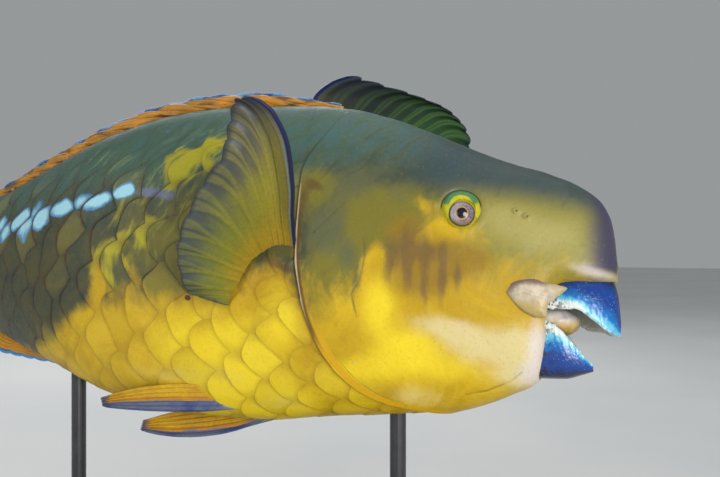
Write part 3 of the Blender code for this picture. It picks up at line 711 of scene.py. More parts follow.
def build_beak(name, shape, inner_front, back, look, seed):
    """A hollow half of the beak, its cutting edges worn and ragged."""
    stations = 110
    around = 72
    rng = np.random.default_rng(seed)
    angles = -0.5 * math.pi + math.pi * np.arange(around + 1) / around
    chips = rng.normal(0.0, 1.0, (2, stations))
    chips = np.array([np.convolve(c, (0.25, 0.5, 0.25), "same") for c in chips]) * CHIP
    toward_crown = 1.0 if shape is UPPER else -1.0
    worn = WORN if shape is UPPER else 0.0
    from_edge = (0.5 * math.pi - np.abs(angles)) / (0.5 * math.pi)
    at_edge = np.exp(-from_edge / 0.12)
    side = np.where(angles < 0, 0, 1)
    steps = np.arange(stations) / (stations - 1)
    grids = []
    for front, inside in ((shape[0][0][0], 0.0), (inner_front, BEAK_WALL)):
        s = scoop_stations(front, back, stations)[:, None]
        points = beak_points(shape, s, angles[None, :], inside)
        ragged = chips[side].T * at_edge[None, :] * ease(0.0, 0.08, steps)[:, None]
        bite = worn * bell(s, WORN_STATION, 0.016) * np.exp(-from_edge / 0.45)
        bite = bite * np.where(side == 0, 0.2, -1.0)
        points[..., 2] += (toward_crown * ragged + bite) * LENGTH
        if inside == 0.0:
            grain = np.sin(s * 900.0 + 2.0 * np.sin(angles * 7.0)) * np.sin(angles * 31.0 + s * 90.0)
            points[..., 1] += 0.00010 * grain * np.sign(np.sin(angles))[None, :]
        grids.append(points)
    row = around + 1
    inner = stations * row
    last = (stations - 1) * row
    run = np.arange(stations - 1) * row
    j = np.arange(around)
    quads = [grid_quads(stations, row), grid_quads(stations, row, start=inner)]
    for k in (0, around):
        quads.append(np.stack([run + k, run + k + row, inner + run + k + row, inner + run + k], axis=-1))
    quads.append(np.stack([last + j, last + j + 1, inner + last + j + 1, inner + last + j], axis=-1))
    quads.append(np.array([[0, inner, inner + around, around]]))
    tips = np.array([grids[0][0].mean(axis=0), grids[1][0].mean(axis=0)])
    triangles = []
    for tip, base in ((2 * inner, 0), (2 * inner + 1, inner)):
        triangles.append(np.stack([np.full(around, tip), base + j, base + j + 1], axis=-1))
        triangles.append(np.array([[tip, base + around, base]]))
    points = np.concatenate([grids[0].reshape(-1, 3), grids[1].reshape(-1, 3), tips])
    beak = quad_mesh(name, points, np.concatenate(quads), np.concatenate(triangles))
    corners = corner_vertices(beak.data)
    shape_of = (2, stations, row)
    measures = {"from_edge": np.broadcast_to(from_edge, shape_of),
                "along": np.broadcast_to(steps[None, :, None], shape_of),
                "within": np.broadcast_to(np.array([0.0, 1.0])[:, None, None], shape_of)}
    for key, values in measures.items():
        flat = np.append(values.reshape(-1), values[0, 0, 0] * np.ones(2))
        add_mask(beak.data, key, flat[corners])
    turn_outward(beak)
    use(beak, look)
    return beak


def beak_material():
    """Worn blue beak: a white cutting edge, then cyan, deep blue and navy, and specks at its root."""
    net = Net("blue_beak", roughness=0.26, coat=0.35, coat_rough=0.12)
    edge = net.mask("from_edge")
    along = net.mask("along")
    ragged = net.noise(260.0, 4.0, 0.65)
    soft = net.noise(90.0, 3.0, 0.6)
    at = net.add(net.add(edge, net.sway(ragged, 0.16)), net.sway(soft, 0.14))
    at = net.add(at, net.ramp(along, 0.45, 0.95, 0.03, -0.12))
    colour = net.mix(net.ramp(at, -0.01, 0.07), srgb(216, 224, 220), srgb(96, 186, 214))
    colour = net.mix(net.ramp(at, 0.06, 0.15), colour, srgb(16, 110, 182))
    colour = net.mix(net.ramp(at, 0.13, 0.30), colour, srgb(5, 58, 136))
    colour = net.mix(net.ramp(at, 0.44, 0.80), colour, srgb(5, 16, 52))
    specks = net.times(net.ramp(net.noise(420.0, 2.0, 0.7), 0.50, 0.57), net.ramp(along, 0.62, 0.92))
    colour = net.mix(specks, colour, srgb(40, 30, 32))
    grains = net.times(net.ramp(net.cells(900.0), 0.20, 0.10), net.ramp(net.noise(300.0), 0.50, 0.58))
    colour = net.mix(net.times(grains, net.ramp(edge, 0.75, 0.1)), colour, srgb(214, 218, 214))
    lining = net.mix(net.ramp(soft, 0.35, 0.65), srgb(196, 198, 188), srgb(140, 146, 150))
    lining = net.mix(net.ramp(net.add(edge, net.sway(ragged, 0.3)), 0.25, 0.02), lining, srgb(226, 228, 220))
    colour = net.mix(net.mask("within"), colour, lining)
    streak = net.noise(60.0, 4.0, 0.6, net.stretch(1.0, 1.0, 7.0))
    height = net.add(net.times(ragged, 0.7), streak)
    return net.done(colour, net.add(net.times(ragged, 0.22), 0.16), net.bump(height, 0.0006, 0.45))


def build_tissue(look):
    """The soft palate and tongue that show between the halves of the beak."""
    s_mid = 0.074
    up_mid = -0.090
    half_long = 0.036
    half_wide = 0.026
    half_high = 0.017
    polar = math.pi * np.linspace(0.0, 1.0, 62)[1:-1, None]
    turn = 2.0 * math.pi * np.arange(90)[None, :] / 90
    s = s_mid - half_long * np.cos(polar)
    fold = 0.0004 * np.sin(s * 420.0 + 2.0 * np.sin(turn * 3.0)) * np.sin(turn * 5.0 + s * 130.0)
    out = (half_wide * np.sin(polar) ** 0.8 + fold * np.sin(polar)) * np.cos(turn)
    up = up_mid + (half_high * np.sin(polar) ** 0.8 + fold * np.sin(polar)) * np.sin(turn)
    poles = [place(s_mid + end * half_long, 0.0, up_mid * LENGTH) for end in (-1, 1)]
    tissue = closed_rings("mouth_tissue", place(s, out * LENGTH, up * LENGTH), poles)
    use(tissue, look)
    return tissue


# Eyes: where the pupil, the gold ring and the iris end, in millimetres from the middle of the pupil
PUPIL = 2.5
GOLD_RING = 3.0
IRIS = 5.5


def build_eyeball(side, name, look):
    """A round eye with a slight dome, looking a little ahead and down; it is measured from its pupil."""
    spot, straight = surface_spot(EYE_STATION, EYE_UP, side)
    up = np.array([0.0, 0.0, 1.0]) - straight * straight[2]
    up = up / np.linalg.norm(up)
    ahead = np.cross(straight, up) * side
    centre = spot - straight * EYE_SUNK + ahead * EYE_AHEAD - up * EYE_DOWN
    out = straight + 0.04 * ahead - 0.20 * up
    out = out / np.linalg.norm(out)
    rings = 70
    around = 96
    polar = math.pi * np.linspace(0.0, 1.0, rings + 2)[1:-1] ** 1.5
    turn = 2.0 * math.pi * np.arange(around) / around
    up = up - out * (up @ out)
    up = up / np.linalg.norm(up)
    ahead = np.cross(out, up) * side
    radius = EYE_RADIUS * (1.0 + CORNEA_RISE * bell(polar, 0.0, 0.42) - 0.012 * bell(polar, 0.58, 0.10))
    across = np.sin(polar) * radius
    spokes = np.cos(turn)[:, None] * ahead + np.sin(turn)[:, None] * up
    points = centre + out * (np.cos(polar) * radius)[:, None, None] + across[:, None, None] * spokes
    poles = [centre + out * EYE_RADIUS * (1.0 + CORNEA_RISE), centre - out * EYE_RADIUS]
    eye = closed_rings(name, points, poles)
    corners = corner_vertices(eye.data)
    millimetres = np.where(polar < 0.5 * math.pi, across, 2.0 * EYE_RADIUS - across) * 1000.0
    measures = {"reach": np.append(np.repeat(millimetres, around), [0.0, 2000.0 * EYE_RADIUS]),
                "upward": np.append(np.tile(np.sin(turn), rings), [0.0, 0.0]),
                "forward": np.append(np.tile(np.cos(turn), rings), [0.0, 0.0])}
    for key, values in measures.items():
        add_mask(eye.data, key, values[corners])
    use(eye, look)
    return eye


def eye_material():
    """A dark pupil in a gold ring, a violet-grey iris, a dark line round it and yellow skin beyond."""
    net = Net("fish_eye", roughness=0.16, coat=0.4, coat_rough=0.05)
    fibres = net.noise(700.0, 3.0, 0.6)
    wavy = net.add(net.mask("reach"), net.sway(net.noise(260.0, 2.0, 0.5), 0.5))
    iris = net.mix(net.ramp(fibres, 0.35, 0.65), srgb(92, 78, 96), srgb(138, 124, 138))
    iris = net.mix(net.ramp(net.mask("forward"), 0.2, -0.9, 0.0, 0.8), iris, srgb(172, 164, 172))
    lower = net.times(net.ramp(net.mask("upward"), -0.25, -0.8), net.ramp(wavy, 4.2, 5.2))
    iris = net.mix(lower, iris, srgb(126, 96, 40))
    colour = net.mix(net.ramp(wavy, PUPIL, PUPIL + 0.25), srgb(14, 8, 34), srgb(190, 142, 40))
    colour = net.mix(net.ramp(wavy, GOLD_RING, GOLD_RING + 0.3), colour, iris)
    colour = net.mix(net.ramp(wavy, IRIS, IRIS + 0.3), colour, srgb(44, 46, 30))
    colour = net.mix(net.ramp(wavy, IRIS + 0.5, IRIS + 1.0), colour, srgb(172, 158, 28))
    return net.finish(colour, fibres, 0.10, 0.20, 0.00012, 0.25)


# Fins
RINGS_OF_RAY = 26


def line_at(table, t):
    """Each column of a table of points, read as a smooth curve at a share of its length."""
    spots = np.linspace(0.0, 1.0, len(table))
    return [blend(list(zip(spots, column)), t) for column in zip(*table)]


def fin_piece(name, centre, half, rays, detail, along, look):
    """A thin closed fin over a surface of two measures: u over its rays and v out along them."""
    across = rays * detail
    u = np.linspace(0.0, 1.0, across + 1)[:, None] * np.ones((1, along + 1))
    v = np.linspace(0.0, 1.0, along + 1)[None, :] * np.ones((across + 1, 1))
    spots = centre(u, v)
    du = centre(np.minimum(u + 0.01, 1.0), v) - centre(np.maximum(u - 0.01, 0.0), v)
    dv = centre(u, np.minimum(v + 0.01, 1.0)) - centre(u, np.maximum(v - 0.01, 0.0))
    normal = np.cross(du, dv)
    normal /= np.linalg.norm(normal, axis=-1, keepdims=True)
    thick = half(u, v)[..., None]
    sheets = np.stack([spots + normal * thick, spots - normal * thick])
    row = along + 1
    other = (across + 1) * row
    run = np.arange(other).reshape(across + 1, row)
    border = np.concatenate([run[:, 0], run[-1, 1:], run[-2::-1, -1], run[0, -2:0:-1]])
    ahead = np.roll(border, -1)
    rim = np.stack([border, ahead, other + ahead, other + border], axis=-1)
    back = grid_quads(across + 1, row, start=other)[:, ::-1]
    fin = quad_mesh(name, sheets.reshape(-1, 3), np.concatenate([grid_quads(across + 1, row), back, rim]))
    turn_outward(fin)
    corners = corner_vertices(fin.data) % other
    for key, values in (("fin_u", u), ("fin_v", v), ("ray", ray_profile(u, v, rays))):
        add_mask(fin.data, key, values.ravel()[corners])
    use(fin, look)
    return fin


def ray_profile(u, v, rays):
    """1 on the middle of a ray and 0 on the membrane; each ray splits in two, and in four."""
    place_in = u * rays - np.floor(np.minimum(u * rays, rays - 1e-6))
    first = 0.20 * ease(0.35, 1.0, v)
    away = np.abs(np.abs(place_in - 0.5) - first)
    away = np.abs(away - 0.45 * first * ease(0.70, 1.0, v))
    return bell(away, 0.0, 0.13 * (1.0 - 0.35 * v))


def ribbed(u, v, rays, web, ridge):
    """Half the thickness of a web with its rays, which have small rings along them and thin out."""
    rings = 1.0 - 0.5 * bell(np.abs((v * RINGS_OF_RAY) % 1.0 - 0.5), 0.5, 0.10) * ease(0.25, 0.5, v)
    return (web + ridge * ray_profile(u, v, rays) * rings) * (1.0 - 0.45 * v)


def scalloped(v, u, rays, depth):
    """Draws the margin in between the ends of the rays."""
    place_in = u * rays - np.floor(u * rays)
    notch = np.abs(2.0 * place_in - 1.0) ** 2.0
    return v * (1.0 - depth * notch * ease(0.55, 1.0, v))


FIN_ROOT = ((0.343, -0.037, 0.070), (0.367, -0.033, 0.070), (0.385, -0.041, 0.070), (0.402, -0.068, 0.068),
            (0.414, -0.084, 0.066))
NEAR_MARGIN = ((0.331, 0.105, 0.235), (0.351, 0.105, 0.230), (0.362, 0.085, 0.222), (0.373, 0.058, 0.213),
               (0.408, 0.025, 0.198), (0.437, -0.017, 0.180), (0.446, -0.043, 0.162), (0.447, -0.070, 0.138),
               (0.435, -0.078, 0.115), (0.419, -0.084, 0.090))
FAR_MARGIN = ((0.334, 0.228, 0.080), (0.312, 0.220, 0.086), (0.274, 0.208, 0.096), (0.246, 0.199, 0.106),
              (0.222, 0.190, 0.116), (0.208, 0.179, 0.124), (0.198, 0.166, 0.130), (0.193, 0.147, 0.136),
              (0.197, 0.108, 0.140), (0.220, 0.057, 0.136), (0.272, 0.009, 0.122), (0.339, -0.035, 0.096))
RAY_BEND = ((0.00, 0.00), (0.30, 0.41), (0.50, 0.79), (0.75, 1.00), (0.90, 0.79), (0.97, 0.42), (1.00, 0.00))
# Side, power of the flare, arch outward, and how far the bent rays go back and up
NEAR_SHAPE = (-1, 1.1, 0.012, -0.034, 0.0)
FAR_SHAPE = (1, 0.8, 0.030, 0.062, 0.035)
PECTORAL_RAYS = 14
# Colours of the fans: at the root, in the middle, toward the rear, the painted highlight on the rays, and at
# the margin
NEAR_TONES = ((176, 140, 34), (142, 134, 44), (112, 118, 48), (166, 158, 58), (40, 50, 70))
FAR_TONES = ((96, 76, 40), (56, 66, 44), (66, 112, 40), (96, 146, 44), (22, 40, 46))
# The last two numbers are where the dark streaks begin, as a share of the rays, and how strong they are
FANS = (("right", NEAR_MARGIN, NEAR_SHAPE, NEAR_TONES, 0.42, 0.85),
        ("left", FAR_MARGIN, FAR_SHAPE, FAR_TONES, 0.20, 0.75))


def build_pectoral(name, margin, shape, look):
    """The fan of one pectoral fin; its rays are bent, the leading ones most, and its margin is scalloped."""
    rays = PECTORAL_RAYS
    side, flare, arch, bend_back, bend_up = shape

    def centre(u, v):
        v = scalloped(1.0 - (1.0 - v) ** 1.3, u, rays, 0.008)
        inner = line_at(FIN_ROOT, u)
        outer = line_at(margin, u)
        bend = blend(RAY_BEND, v)
        ripple = 0.0010 * np.sin(2.0 * math.pi * rays * u) * ease(0.1, 0.8, v) * ease(0.0, 0.12, u)
        s = inner[0] + (outer[0] - inner[0]) * v + bend_back * (1.0 - u) ** 1.2 * bend
        up = inner[1] + (outer[1] - inner[1]) * v + bend_up * np.sin(math.pi * u) * bend
        out = inner[2] - 0.004 * (1.0 - v) + (outer[2] - inner[2]) * v ** flare
        return place(s, side * (out + arch * np.sin(math.pi * v) + ripple) * LENGTH, up * LENGTH)

    def half(u, v):
        leading = 0.0011 * bell(u, 0.0, 0.016) * (1.0 - 0.7 * v)
        root = 0.0016 * ease(0.10, 0.0, v)
        return ribbed(u, v, rays, web=0.00034, ridge=0.00034) + leading + root

    return fin_piece(name, centre, half, rays, 14, 90, look)


def grained(net, colour, fine):
    """The grain, gloss and bump of the paired fins."""
    colour = net.mix(net.ramp(fine, 0.35, 0.75, 0.0, 0.20), colour, srgb(60, 54, 30))
    return net.finish(colour, fine, 0.38, 0.54, 0.0004, 0.35, net.noise(160.0, 3.0))


def fan_material(name, tones, reach, dark_share):
    """A pectoral fan: blue leading edge, brown band, yellow-green middle, dark streaks from its margin."""
    root, middle_tone, rear_tone, ray_highlight, margin = (srgb(*tone) for tone in tones)
    net = Net(name, roughness=0.44, coat=0.08, coat_rough=0.25, specular=0.35)
    u = net.mask("fin_u")
    v = net.mask("fin_v")
    ray = net.mask("ray")
    cloud = net.noise(38.0, 4.0, 0.6)
    fine = net.noise(520.0, 3.0, 0.65)
    long_streaks = net.noise(1.0, 4.0, 0.6, net.join(net.times(u, 46.0), net.times(v, 2.2), 0.0))
    drift = net.sway(cloud, 0.30)
    u_near = net.add(u, net.times(drift, 0.25))
    v_near = net.add(net.add(v, drift), net.sway(long_streaks, 0.5))
    colour = net.mix(net.ramp(v_near, 0.02, 0.45), root, middle_tone)
    colour = net.mix(net.times(net.ramp(u_near, 0.22, 0.55), net.ramp(v_near, 0.15, 0.55)), colour, rear_tone)
    band = net.times(net.ramp(u_near, 0.22, 0.08), net.ramp(v, 0.08, 0.35))
    colour = net.mix(net.times(band, 0.6), colour, srgb(104, 92, 42))
    # lighter colour on the ridges of the rays: a painted highlight
    colour = net.mix(net.times(net.ramp(ray, 0.2, 0.9), net.ramp(v, 0.10, 0.4), 0.26), colour, ray_highlight)
    dark = net.times(net.ramp(v_near, reach, 1.0), net.ramp(ray, 0.85, 0.15, 0.66, 1.0))
    dark = net.times(dark, net.ramp(u, 0.02, 0.14, 0.5, 1.0), dark_share)
    colour = net.mix(dark, colour, margin)
    tip = net.times(net.ramp(u, 0.30, 0.06), net.ramp(net.add(v, net.sway(fine, 0.05)), 0.72, 0.95))
    colour = net.mix(net.times(tip, 0.85), colour, srgb(26, 32, 54))
    rim = net.ramp(net.add(v, net.sway(cloud, 0.10)), 0.955, 1.0, 0.0, 0.8)
    colour = net.mix(rim, colour, srgb(30, 38, 54))
    inner = net.times(net.ramp(u, 0.046, 0.032), net.ramp(v, 0.06, 0.16), net.ramp(v, 0.85, 0.6, 0.3, 1.0))
    colour = net.mix(net.times(inner, 0.6), colour, srgb(92, 122, 146))
    colour = net.mix(net.times(net.ramp(u, 0.030, 0.016), net.ramp(v, 0.04, 0.12)), colour, srgb(22, 32, 78))
    return grained(net, colour, fine)


# Root and tip as station, height and place outward, then half heights above and below their line
NEAR_PELVIC = ((0.392, -0.194, 0.022), (0.580, -0.202, 0.052), 0.024, -0.008)
FAR_PELVIC = ((0.385, -0.200, 0.008), (0.577, -0.232, 0.024), 0.012, -0.024)
# The last number is the share of its height below which a fin is blue
PELVICS = (("right", -1, NEAR_PELVIC, 0.52), ("left", 1, FAR_PELVIC, 0.76))


def build_pelvic(name, shape, side, look):
    """A folded pelvic fin that lies back along the belly."""
    (s0, up0, out0), (s1, up1, out1), high, low = shape
    rays = 6

    def centre(u, v):
        spread = np.sin(math.pi * (0.10 + 0.82 * v)) ** 0.8
        offset = (high * (1.0 - u) + low * u) * spread
        ripple = 0.0007 * np.sin(2.0 * math.pi * rays * u) * ease(0.05, 0.4, v)
        s = s0 + (s1 - s0) * v * (1.0 - 0.02 * np.abs(np.cos(math.pi * rays * u)) * ease(0.8, 1.0, v))
        out = out0 + (out1 - out0) * v ** 0.6 + 0.014 * (1.0 - u) * spread + ripple
        return place(s, side * out * LENGTH, (up0 + (up1 - up0) * v + offset) * LENGTH)

    def half(u, v):
        spine = 0.0010 * bell(u, 1.0, 0.05) * (1.0 - 0.6 * v)
        return ribbed(u, v, rays, web=0.00035, ridge=0.00055) + spine + 0.0018 * ease(0.16, 0.0, v)

    return fin_piece(name, centre, half, rays, 16, 110, look)


def pelvic_material(name, blue_from):
    """Yellow web with a blue-violet band below a share of its height."""
    net = Net(name, roughness=0.44, coat=0.08, coat_rough=0.25, specular=0.35)
    u = net.mask("fin_u")
    v = net.mask("fin_v")
    cloud = net.noise(60.0, 4.0, 0.6)
    fine = net.noise(520.0, 3.0, 0.65)
    u_near = net.add(u, net.sway(cloud, 0.20))
    colour = net.mix(net.ramp(cloud, 0.35, 0.65), srgb(214, 172, 24), srgb(196, 146, 26))
    colour = net.mix(net.ramp(net.mask("ray"), 0.7, 0.1, 0.0, 0.22), colour, srgb(150, 104, 34))
    blue = net.mix(net.ramp(cloud, 0.40, 0.60), srgb(58, 70, 124), srgb(92, 100, 128))
    blue = net.mix(net.ramp(v, 0.30, 0.05, 0.0, 0.7), blue, srgb(126, 164, 190))
    low = net.times(net.ramp(u_near, blue_from, blue_from + 0.10), net.ramp(v, 0.02, 0.15))
    colour = net.mix(low, colour, blue)
    above_seam = net.ramp(u_near, blue_from - 0.14, blue_from - 0.02)
    seam = net.times(above_seam, net.ramp(u_near, blue_from + 0.06, blue_from))
    colour = net.mix(net.times(seam, 0.55), colour, srgb(170, 96, 22))
    tip = net.ramp(net.add(v, net.sway(fine, 0.05)), 0.93, 0.99, 0.0, 0.8)
    colour = net.mix(tip, colour, srgb(60, 72, 110))
    return grained(net, colour, fine)


ANAL_UPPER = ((0.690, -0.150), (0.780, -0.130), (0.850, -0.110), (0.880, -0.117), (0.940, -0.132))
ANAL_LOWER = ((0.690, -0.164), (0.740, -0.162), (0.830, -0.158), (0.900, -0.149), (0.940, -0.139))


def build_anal(look):
    """The folded anal fin: rays that lie back almost level below the tail stem."""
    rays = 8

    def centre(u, v):
        s = 0.690 + 0.250 * v
        upper = blend(ANAL_UPPER, s)
        notch = np.abs(np.sin(math.pi * 9.0 * v)) ** 0.6
        lower = blend(ANAL_LOWER, s) + 0.0022 * (1.0 - notch)
        ripple = 0.0010 * np.sin(2.0 * math.pi * rays * u) * ease(0.0, 0.3, v)
        return place(s, ripple, (upper + (lower - upper) * u) * LENGTH)

    def half(u, v):
        return ribbed(u, v, rays, web=0.0005, ridge=0.0006) + 0.0016 * ease(0.25, 0.0, u)

    return fin_piece("anal_fin_web", centre, half, rays, 12, 160, look)


def anal_material():
    """Orange fin skin with a blue lower margin."""
    net = Net("anal_fin_skin", roughness=0.42, coat=0.15, coat_rough=0.25)
    cloud = net.noise(60.0, 4.0, 0.6)
    fine = net.noise(520.0, 3.0, 0.65)
    low = net.add(net.mask("fin_u"), net.sway(fine, 0.03))
    colour = net.mix(net.ramp(cloud, 0.35, 0.65), srgb(222, 160, 26), srgb(196, 136, 34))
    colour = net.mix(net.times(net.less(1.0, net.mask("ray")), 0.45), colour, srgb(128, 84, 34))
    colour = net.mix(net.ramp(low, 0.85, 0.88), colour, srgb(24, 40, 92))
    colour = net.mix(net.ramp(low, 0.90, 0.93), colour, srgb(58, 132, 196))
    return net.finish(colour, fine, 0.34, 0.52, 0.0004, 0.35, net.noise(160.0, 3.0))


# The tail fin: height and length of its middle, how much longer its corners are, half heights of root and end
TAIL_LEVEL = -0.029
TAIL_LENGTH = 0.195
TAIL_CORNERS = 0.055
TAIL_ROOT_HALF = 0.066
TAIL_END_HALF = 0.175


def build_tail_fin(look):
    """A fan of branched rays with a shallow notch and longer corners."""
    rays = 17
    start = 1.0 + GAP / LENGTH

    def centre(u, v):
        across = 2.0 * u - 1.0
        v = scalloped(v, u, rays, 0.018)
        root_up = TAIL_LEVEL - TAIL_ROOT_HALF * across
        reach = TAIL_LENGTH + TAIL_CORNERS * np.abs(across) ** 2.4
        tip_up = TAIL_LEVEL - TAIL_END_HALF * np.sign(across) * np.abs(across) ** 1.05
        ripple = 0.0012 * np.sin(2.0 * math.pi * rays * u) * ease(0.1, 0.7, v)
        wave = 0.0030 * np.sin(math.pi * 2.0 * u) * v ** 2
        return place(start + reach * v, ripple + wave, (root_up + (tip_up - root_up) * v ** 0.9) * LENGTH)

    def half(u, v):
        across = np.abs(2.0 * u - 1.0)
        fleshy = np.sqrt(np.maximum(0.0, 1.0 - 0.9 * across ** 2)) * np.maximum(0.0, 1.0 - v / 0.22) ** 2
        edges = 0.0008 * bell(across, 1.0, 0.035) * (1.0 - 0.6 * v)
        return ribbed(u, v, rays, web=0.00035, ridge=0.00065) + 0.0068 * fleshy + edges

    return fin_piece("tail_fin_fan", centre, half, rays, 14, 90, look)


def tail_material():
    """Grey-olive root, yellow rays, a blue-green band and blue margins."""
    net = Net("tail_fin_skin", roughness=0.42, coat=0.15, coat_rough=0.25)
    from_middle = net.math("ABSOLUTE", net.less(net.times(net.mask("fin_u"), 2.0), 1.0))
    v = net.mask("fin_v")
    cloud = net.noise(34.0, 4.0, 0.6)
    v_near = net.add(v, net.sway(cloud, 0.25))
    colour = net.mix(net.ramp(v_near, 0.05, 0.55), srgb(96, 92, 52), srgb(190, 150, 40))
    colour = net.mix(net.times(net.less(1.0, net.mask("ray")), 0.5), colour, srgb(108, 82, 36))
    colour = net.mix(net.times(net.ramp(v_near, 0.62, 0.86), 0.7), colour, srgb(58, 92, 98))
    colour = net.mix(net.ramp(v, 0.945, 0.975), colour, srgb(46, 118, 176))
    past_root = net.ramp(v, 0.1, 0.3)
    colour = net.mix(net.times(net.ramp(from_middle, 0.80, 0.86), past_root), colour, srgb(32, 48, 104))
    colour = net.mix(net.times(net.ramp(from_middle, 0.93, 0.96), past_root), colour, srgb(62, 136, 196))
    return net.finish(colour, net.noise(520.0, 3.0, 0.65), 0.34, 0.52, 0.0004, 0.35, net.noise(160.0, 3.0))


# The folded back fin, like a rope of strands along the back: its stations, its turn in radians, its spines
ROPE_START = 0.318
ROPE_END = 0.955
ROPE_TWIST = 34.0
SPINES = 20


def rope_size(t):
    """The share of its full thickness that the folded fin has along its length."""
    return np.minimum(1.0, 0.25 + 5.0 * t) * np.minimum(1.0, 0.18 + 3.2 * (1.0 - t))


def rope_line(t):
    """Station and height of the middle of the folded fin."""
    s = ROPE_START + (ROPE_END - ROPE_START) * t
    up = blend(TOP, s) + 0.0080 * rope_size(t) + np.maximum(0.0, s - 0.86) * 0.10
    return s, up


def tube_grid(centre, radii, count):
    """Rings of points round a line, with its two end points after them."""
    across, other = frames_along(centre)
    turn = 2.0 * math.pi * np.arange(count)[:, None] / count
    ring = across[:, None, :] * np.cos(turn) + other[:, None, :] * np.sin(turn)
    points = centre[:, None, :] + ring * radii[:, None, None]
    return np.concatenate([points.reshape(-1, 3), centre[:1], centre[-1:]])


def frames_along(centre):
    """Two directions square to a line of points."""
    ahead = np.gradient(centre, axis=0)
    ahead /= np.linalg.norm(ahead, axis=-1, keepdims=True)
    across = np.cross(ahead, np.array([0.05, 0.1, 1.0]))
    across /= np.linalg.norm(across, axis=-1, keepdims=True)
    return across, np.cross(ahead, across)


def many_tubes(name, lines, radii, count, look):
    """One mesh of several closed tubes; each also carries how far along it a point is."""
    points = []
    quads = []
    caps = []
    along = []
    start = 0
    for line, size in zip(lines, radii):
        points.append(tube_grid(line, size, count))
        faces, ends = tube_faces(len(line), count, start)
        quads.append(faces)
        caps.append(ends)
        along.append(np.append(np.repeat(np.linspace(0.0, 1.0, len(line)), count), [0.0, 1.0]))
        start += len(points[-1])
    made = quad_mesh(name, np.concatenate(points), np.concatenate(quads), np.concatenate(caps))
    turn_outward(made)
    add_mask(made.data, "along", np.concatenate(along)[corner_vertices(made.data)])
    use(made, look)
    return made


def build_dorsal(look, edge_look):
    """The folded back fin: spines and rays that lie over one another, and the blue edge of its web."""
    lines = []
    radii = []
    t = np.linspace(0.0, 1.0, 220)
    s, up = rope_line(t)
    size = rope_size(t)
    lines.append(place(s, 0.0, (up - 0.0030 * size) * LENGTH))
    radii.append(0.0033 * size)
    for strand in range(3):
        turn = ROPE_TWIST * t + 2.0 * math.pi * strand / 3.0
        left = 0.0021 * size * np.sin(turn)
        high = 0.0019 * size * np.cos(turn)
        lines.append(place(s, left, up * LENGTH + high))
        radii.append(0.0023 * size * (1.0 + 0.10 * np.sin(60.0 * t + strand)))
    reach = np.linspace(0.0, 1.0, 40)
    for i in range(SPINES):
        root = 0.015 + 0.90 * i / SPINES
        at = np.minimum(root + 0.135 * reach, 0.995)
        s_at, up_at = rope_line(at)
        size_at = rope_size(at)
        side = 1.0 if i % 2 == 0 else -1.0
        left = side * 0.0036 * size_at * (1.0 - reach) ** 0.7 + side * 0.0004
        high = (-0.0046 + 0.0088 * reach ** 0.8) * size_at
        lines.append(place(s_at, left, up_at * LENGTH + high))
        radii.append(0.0013 * size_at * (1.0 - 0.65 * reach))
    rope = many_tubes("dorsal_rays", lines, radii, 14, look)
    edge_t = np.linspace(0.004, 0.996, 320)
    s, up = rope_line(edge_t)
    size = rope_size(edge_t)
    ripple = 0.0005 * np.sin(110.0 * edge_t) + 0.0003 * np.sin(47.0 * edge_t + 1.0)
    line = place(s, 0.0006 * np.sin(60.0 * edge_t), up * LENGTH + 0.0043 * size + ripple)
    edge = many_tubes("dorsal_edge", [line], [0.0007 * size + 0.0002], 10, edge_look)
    return [rope, edge]


def rope_material():
    """Orange rays with dark streaks, duller toward the rear end."""
    net = Net("dorsal_skin", roughness=0.45, coat=0.15, coat_rough=0.25)
    cloud = net.noise(90.0, 4.0, 0.6)
    fine = net.noise(700.0, 3.0, 0.65)
    streak = net.noise(140.0, 4.0, 0.6, net.stretch(0.35, 1.0, 1.6))
    colour = net.mix(net.ramp(cloud, 0.35, 0.65), srgb(196, 130, 24), srgb(160, 112, 34))
    colour = net.mix(net.ramp(streak, 0.50, 0.62, 0.0, 0.8), colour, srgb(84, 56, 26))
    colour = net.mix(net.ramp(fine, 0.55, 0.75, 0.0, 0.4), colour, srgb(214, 168, 52))
    colour = net.mix(net.ramp(net.mask("along"), 0.75, 1.0, 0.0, 0.5), colour, srgb(120, 100, 60))
    return net.finish(colour, fine, 0.36, 0.54, 0.0005, 0.4, streak)


def margin_material():
    """The blue edge of the folded back fin."""
    net = Net("blue_margin", roughness=0.40, coat=0.2, coat_rough=0.2)
    cloud = net.noise(120.0, 4.0, 0.6)
    fine = net.noise(700.0, 3.0, 0.6)
    colour = net.mix(net.ramp(cloud, 0.40, 0.60), srgb(84, 146, 200), srgb(34, 78, 140))
    colour = net.mix(net.ramp(fine, 0.55, 0.70, 0.0, 0.5), colour, srgb(120, 180, 214))
    return net.finish(colour, fine, 0.34, 0.50)


# The fold of skin that hangs over the corner of the mouth
FOLD_OUTLINE = ((0.106, -0.067), (0.101, -0.057), (0.090, -0.053), (0.080, -0.052), (0.069, -0.055),
                (0.056, -0.057), (0.047, -0.060), (0.057, -0.070), (0.065, -0.078), (0.067, -0.091),
                (0.075, -0.091), (0.086, -0.087), (0.098, -0.077))
# How thick it is before and behind the line of FOLD_OUT, and at its rim
FOLD_THICK = 0.0026
FOLD_BACK = 0.0016
FOLD_RIM = 0.0002
FOLD_OUT = ((0.030, 0.0400), (0.046, 0.0455), (0.060, 0.0505), (0.080, 0.0555), (0.120, 0.0640))


